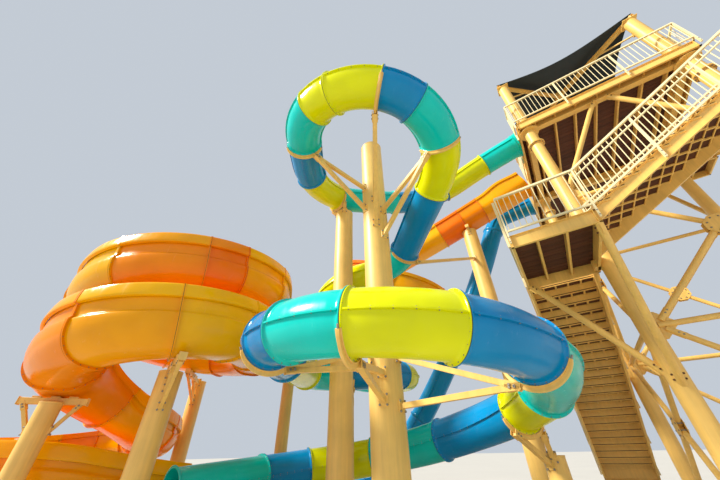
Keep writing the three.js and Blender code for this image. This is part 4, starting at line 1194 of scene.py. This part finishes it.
def railing(skin, line, drop, sizes):
    """Posts, a top rail, a handrail on the slopes, a bottom rail and upright balusters between them,
    along a line of points. Balusters stand at even shares of each bay."""
    line = np.asarray(line, float)
    post, high = sizes.post, UP * sizes.height
    for number, (a, b) in enumerate(zip(line[:-1], line[1:])):
        run = np.linalg.norm(b - a)
        share = np.linspace(0, 1, max(1, round(run / 1.55)) + 1)[(1 if number else 0) :, None]
        feet = a + share * (b - a)
        level = unit(b - a) * [1, 1, 0]
        skin.bars(feet - UP * drop, feet + high, post * 0.86, post * 0.55, up=level)
        spots = np.concatenate([feet - UP * (drop - d) for d in (0.04, 0.15)])
        skin.bolts(spots, np.cross(UP, unit(level)), 0.014, 0.0295)
        skin.bars([a + high], [b + high], post * 0.98, post * 0.75)
        skin.bars([a + UP * 0.1], [b + UP * 0.1], 0.04, 0.04)
        if abs(b[2] - a[2]) > 0.5:
            skin.pipes([a + high - UP * 0.19], [b + high - UP * 0.19], 0.021, 12)
        count = max(2, round(run / sizes.spacing))
        foot = a + ((np.arange(count) + 0.5) / count)[:, None] * (b - a)
        skin.pipes(foot + UP * 0.1, foot + high - UP * 0.01, sizes.baluster / 2, 6)


def build_railings(sizes):
    """The railings of the stairs, the landings and the top deck."""
    for name, line in RAILINGS.items():
        skin = Skin()
        railing(skin, line, POST_DROP.get(name, 0.22), sizes)
        piece(name, skin, ["cream_paint", "zinc_bolts"], "cream_steel", name)


def build_bracing(sizes):
    """In each face of the tower level pipes and crossed pipes, with gussets at the masts and a bolted
    eight-sided plate where they cross."""
    faces = {
        "front": ((0, 0), (SPACING, 0)),
        "back": ((0, SPACING), (SPACING, SPACING)),
        "left": ((0, 0), (0, SPACING)),
        "right": ((SPACING, 0), (SPACING, SPACING)),
    }
    gusset = [[0, -0.28], [0.05, -0.28], [0.3, -0.04], [0.3, 0.04], [0.05, 0.28], [0, 0.28]]
    r = sizes.brace / 2
    for name, (a, b) in faces.items():
        skin = Skin()
        a, b = np.array([*a, 0.0]), np.array([*b, 0.0])
        along = unit(b - a)
        normal = np.cross(along, UP)
        near, far = a + along * 0.172, b - along * 0.172
        for low, high in zip(BRACE_LEVELS[:-1], BRACE_LEVELS[1:]):
            skin.pipes([near + UP * high], [far + UP * high], r, 20)
            for p, q in ((near, far), (far, near)):
                start, end = p + UP * low, q + UP * high
                way = unit(end - start)
                skin.pipes([start + way * 0.12], [end - way * 0.12], r, 20)
                for tip, way in ((start, way), (end, -way)):
                    skin.bars([tip + way * 0.02], [tip + way * 0.42], 0.02, 0.13)
                    skin.bolts([tip + way * 0.3, tip + way * 0.37], normal, 0.018, r + 0.008)
            middle = (near + far) / 2 + UP * (low + high) / 2
            for shift in (-r - 0.006, r + 0.006):
                skin.plate(circle(8, 0.5) * 0.24, middle + normal * shift, along, UP, 0.012)
            skin.bolts(middle + 0.17 * around(along, UP, 8, 0.5), normal, 0.018, r + 0.026)
        for high in BRACE_LEVELS:
            for spot, way in ((near, 1), (far, -1)):
                skin.plate(gusset, spot + UP * high, along * way, UP, 0.016)
        steel(f"bracing_{name}", skin, 0.003)


# The roof's places: where its beams' middles meet, the height and half width of the sail's corners, how
# far its middle rises over them, and how far its edges are drawn in
NODE = np.array([MIDDLE, MIDDLE, 13.87])
SAIL_CORNER, SAIL_HALF, SAIL_RISE, SAIL_DRAW = 13.55, 2.2, 0.48, 0.16


def build_roof():
    """Four beams that rise to the middle, with bolted heads on the masts, a corner arm for each corner of
    the sail, and a short tie under each beam."""
    skin = Skin()
    for x, y in MASTS.values():
        out = np.array([math.copysign(1, x - MIDDLE), math.copysign(1, y - MIDDLE), 0])
        corner = np.array([MIDDLE, MIDDLE, 13.39]) + out * SAIL_HALF
        skin.beam(corner, NODE, i_section(0.11, 0.148, 0.01))
        skin.boxes([x - 0.2, y - 0.2, 13.301], [x + 0.2, y + 0.2, 13.325])
        skin.bolts([(x + a, y + b, 13.33) for a in (-0.16, 0.16) for b in (-0.16, 0.16)], UP, 0.018, 0.02)
        way = unit(NODE - corner)
        side, level = unit(np.cross(UP, way)), unit(way * [1, 1, 0])
        seat = np.array([x, y, 13.325])
        for shift in (-0.07, 0.07):
            cheek = [[-0.17, 0], [0.17, 0], [0.14, 0.15], [-0.17, 0.1]]
            skin.plate(cheek, seat + side * shift, level, UP, 0.012)
        skin.bolts([seat + level * k + UP * 0.07 for k in (-0.1, 0, 0.1)], side, 0.018, 0.09)
        tip = corner - out * 0.055
        skin.boxes(tip - [0.03, 0.03, 0.06], tip + [0.03, 0.03, 0.135])
        skin.plate([[-0.09, 0], [0.09, 0], [0.02, 0.14], [-0.02, 0.14]], tip, side, UP, 0.016)
        foot = np.array([x, y, 12.75]) + level * 0.17
        skin.pipes([foot], [corner + way * 1.35 - UP * 0.07], 0.03, 12)
        skin.bars([foot - UP * 0.06], [foot + UP * 0.07], 0.1, 0.05)
    skin.pipes([NODE - UP * 0.1], [NODE + UP * 0.12], 0.17, 32)
    skin.boxes([MIDDLE - 0.08, MIDDLE - 0.08, 13.87], [MIDDLE + 0.08, MIDDLE + 0.08, 14.005])
    steel("roof_beams", skin, 0.003)


def build_sail():
    """The shade sail: a low pyramid. A point u, v from -1 to 1 lies on the square ring of the larger of
    the two. The ring's height falls evenly to the corners, and each edge is drawn in by a part of its
    length times one less the square of its share along the edge."""
    u = np.linspace(-1, 1, 61)
    a, b = np.meshgrid(u, u, indexing="ij")
    ring = np.maximum(np.abs(a), np.abs(b))
    along = np.minimum(np.abs(a), np.abs(b)) / np.maximum(ring, 1e-9)
    draw = 1 - SAIL_DRAW * ring * (1 - along**2)
    slack = 0.045 * (1 - along**2) * ring * (1 - ring) * 4
    z = SAIL_CORNER + SAIL_RISE * (1 - ring) + 0.015 - slack * 0.3
    top = np.stack([MIDDLE + a * SAIL_HALF * draw, MIDDLE + b * SAIL_HALF * draw, z], -1)
    n = len(u)
    index = np.arange(n * n).reshape(n, n)
    quads = np.stack([index[:-1, :-1], index[1:, :-1], index[1:, 1:], index[:-1, 1:]], -1)
    loop = np.concatenate([index[:-1, 0], index[-1, :-1], index[:0:-1, -1], index[0, :0:-1]])
    after = np.roll(loop, -1)
    skin = Skin()
    skin.faces(quads)
    skin.faces(quads[..., ::-1] + n * n)
    skin.faces(np.stack([loop, loop + n * n, after + n * n, after], -1))
    skin.points += [(top + UP * half).reshape(-1, 3) for half in (0.0025, -0.0025)]
    sail = piece("shade_sail", skin, ["shade_cloth"], "sail_cloth", "shade_sail")
    hem = Skin()
    rim = top.reshape(-1, 3)[loop]
    inward = unit((NODE - rim) * [1, 1, 0])
    slope = UP * SAIL_RISE / SAIL_HALF
    corners = [(-0.002, -0.006), (0.06, -0.006), (0.06, 0.006), (-0.002, 0.006)]
    hem.loft(np.stack([rim + w * (inward + slope) + UP * h for w, h in corners], 1), closed=True)
    border = piece("sail_hem", hem, ["shade_cloth"], "sail_cloth")


class SLIDE_OT_aqua(bpy.types.Operator):
    """Builds the aqua tube in its coloured lengths."""

    bl_idname = "slide.aqua"
    bl_label = "Aqua tube"

    def execute(self, context):
        build_tube("aqua", AQUA, AQUA_LENGTHS, AQUA_NODES, context.scene.slide_tubes)
        return {"FINISHED"}


class SLIDE_OT_steep(bpy.types.Operator):
    """Builds the steep blue tube."""

    bl_idname = "slide.steep"
    bl_label = "Steep tube"

    def execute(self, context):
        build_tube("steep", STEEP, STEEP_LENGTHS, STEEP_NODES, context.scene.slide_tubes)
        return {"FINISHED"}


class SLIDE_OT_flume(bpy.types.Operator):
    """Builds the orange flume in its coloured lengths."""

    bl_idname = "slide.flume"
    bl_label = "Orange flume"

    def execute(self, context):
        build_flume(context.scene.slide_flume)
        return {"FINISHED"}


class SLIDE_OT_supports(bpy.types.Operator):
    """Builds the columns with their cradles, struts and arms."""

    bl_idname = "slide.supports"
    bl_label = "Supports"

    def execute(self, context):
        build_supports()
        return {"FINISHED"}


class SLIDE_OT_tower(bpy.types.Operator):
    """Builds the masts, decks, flights and bracing of the tower."""

    bl_idname = "slide.tower"
    bl_label = "Tower"

    def execute(self, context):
        sizes = context.scene.slide_steel
        build_masts(sizes)
        build_top_deck(sizes)
        build_landings(sizes)
        build_flights()
        build_bracing(sizes)
        return {"FINISHED"}


class SLIDE_OT_railings(bpy.types.Operator):
    """Builds the railings."""

    bl_idname = "slide.railings"
    bl_label = "Railings"

    def execute(self, context):
        build_railings(context.scene.slide_rails)
        return {"FINISHED"}


class SLIDE_OT_roof(bpy.types.Operator):
    """Builds the roof beams and the shade sail."""

    bl_idname = "slide.roof"
    bl_label = "Roof"

    def execute(self, context):
        build_roof()
        build_sail()
        return {"FINISHED"}


FLOOR_REACH = 260.0  # beyond what any view shows of the ground
AIR, AIR_STRENGTH = "#E2EBF6", 0.72
SUN_STRENGTH, SUN_WIDTH, SUN_COLOUR, SUN_TURN = 5.6, 12, (1.0, 0.95, 0.86), (50, 0, -46)  # degrees
EYE = (-1.75, -8.22, 1.6)
LENS, SENSOR = 14.6, 36.0  # millimetres
HEADING, PITCH, ROLL = math.atan2(0.536, 0.844), math.radians(36.12), math.radians(-1.19)


def place_in_scene(name, data):
    """An object of some data, put in the scene."""
    made = bpy.data.objects.new(name, data)
    bpy.context.scene.collection.objects.link(made)
    return made


def build_floor():
    """A flat pale floor at the foot of the masts."""
    mesh = bpy.data.meshes.new("floor")
    r = FLOOR_REACH
    mesh.from_pydata([(-r, -r, 0), (r, -r, 0), (r, r, 0), (-r, r, 0)], [], [(0, 1, 2, 3)])
    mesh.materials.append(finish("studio_floor"))
    place_in_scene("floor", mesh)


def build_light(scene):
    """Even pale air all round, and one broad warm key from the camera's left."""
    world = bpy.data.worlds.new("studio_air")
    world.use_nodes = True
    back = world.node_tree.nodes["Background"]
    back.inputs["Color"].default_value = shade(linear(AIR))
    back.inputs["Strength"].default_value = AIR_STRENGTH
    scene.world = world
    lamp = bpy.data.lights.new("soft_key", "SUN")
    lamp.energy, lamp.angle, lamp.color = SUN_STRENGTH, math.radians(SUN_WIDTH), SUN_COLOUR
    place_in_scene("soft_key", lamp).rotation_euler = [math.radians(turn) for turn in SUN_TURN]


def build_camera(scene):
    """The camera at the photograph's angle: aimed by its heading and pitch, then rolled about its aim."""
    data = bpy.data.cameras.new("camera")
    data.lens, data.sensor_width = LENS, SENSOR
    data.clip_start, data.clip_end = 0.05, 600.0
    level = np.array([-math.sin(HEADING), math.cos(HEADING), 0.0])
    aim = level * math.cos(PITCH) + UP * math.sin(PITCH)
    right = unit(np.cross(aim, UP))
    over = np.cross(right, aim)
    x = right * math.cos(ROLL) + over * math.sin(ROLL)
    y = over * math.cos(ROLL) - right * math.sin(ROLL)
    matrix = np.eye(4)
    matrix[:3] = np.stack([x, y, -aim, EYE], 1)
    scene.camera = place_in_scene("camera", data)
    scene.camera.matrix_world = Matrix(matrix.tolist())


class SLIDE_OT_stage(bpy.types.Operator):
    """Makes the pale floor, the soft lights and the camera."""

    bl_idname = "slide.stage"
    bl_label = "Stage"

    def execute(self, context):
        build_floor()
        build_light(context.scene)
        build_camera(context.scene)
        context.scene.view_settings.view_transform = "Standard"
        return {"FINISHED"}


class SLIDE_PT_panel(bpy.types.Panel):
    """Lists the sizes, the colours and the building steps."""

    bl_idname = "SLIDE_PT_panel"
    bl_label = "Slide Tower"
    bl_space_type = "VIEW_3D"
    bl_region_type = "UI"
    bl_category = "Slide Tower"

    def draw(self, context):
        for group in GROUPS:
            box = self.layout.box()
            box.label(text=group)
            for name in GROUPS[group].__annotations__:
                box.prop(getattr(context.scene, group), name)
        for operator in OPERATORS:
            self.layout.operator(operator.bl_idname)


GROUPS = {
    "slide_tubes": TubeSizes,
    "slide_flume": FlumeSizes,
    "slide_steel": SteelSizes,
    "slide_rails": RailSizes,
    "slide_colours": SlideColours,
}
OPERATORS = (
    SLIDE_OT_stage,
    SLIDE_OT_aqua,
    SLIDE_OT_steep,
    SLIDE_OT_flume,
    SLIDE_OT_supports,
    SLIDE_OT_tower,
    SLIDE_OT_railings,
    SLIDE_OT_roof,
)


def register():
    """Puts the sizes and colours on the scene, and lists the operators and the panel."""
    for name, group in GROUPS.items():
        bpy.utils.register_class(group)
        setattr(bpy.types.Scene, name, bpy.props.PointerProperty(type=group))
    for made in (*OPERATORS, SLIDE_PT_panel):
        bpy.utils.register_class(made)


def unregister():
    """Takes away what register added."""
    for made in (SLIDE_PT_panel, *OPERATORS[::-1]):
        bpy.utils.unregister_class(made)
    for name, group in GROUPS.items():
        delattr(bpy.types.Scene, name)
        bpy.utils.unregister_class(group)


def main():
    """Builds everything in order."""
    register()
    bpy.ops.slide.stage()
    bpy.ops.slide.aqua()
    bpy.ops.slide.steep()
    bpy.ops.slide.flume()
    bpy.ops.slide.supports()
    bpy.ops.slide.tower()
    bpy.ops.slide.railings()
    bpy.ops.slide.roof()
    bpy.context.view_layer.update()


if __name__ == "__main__":
    main()
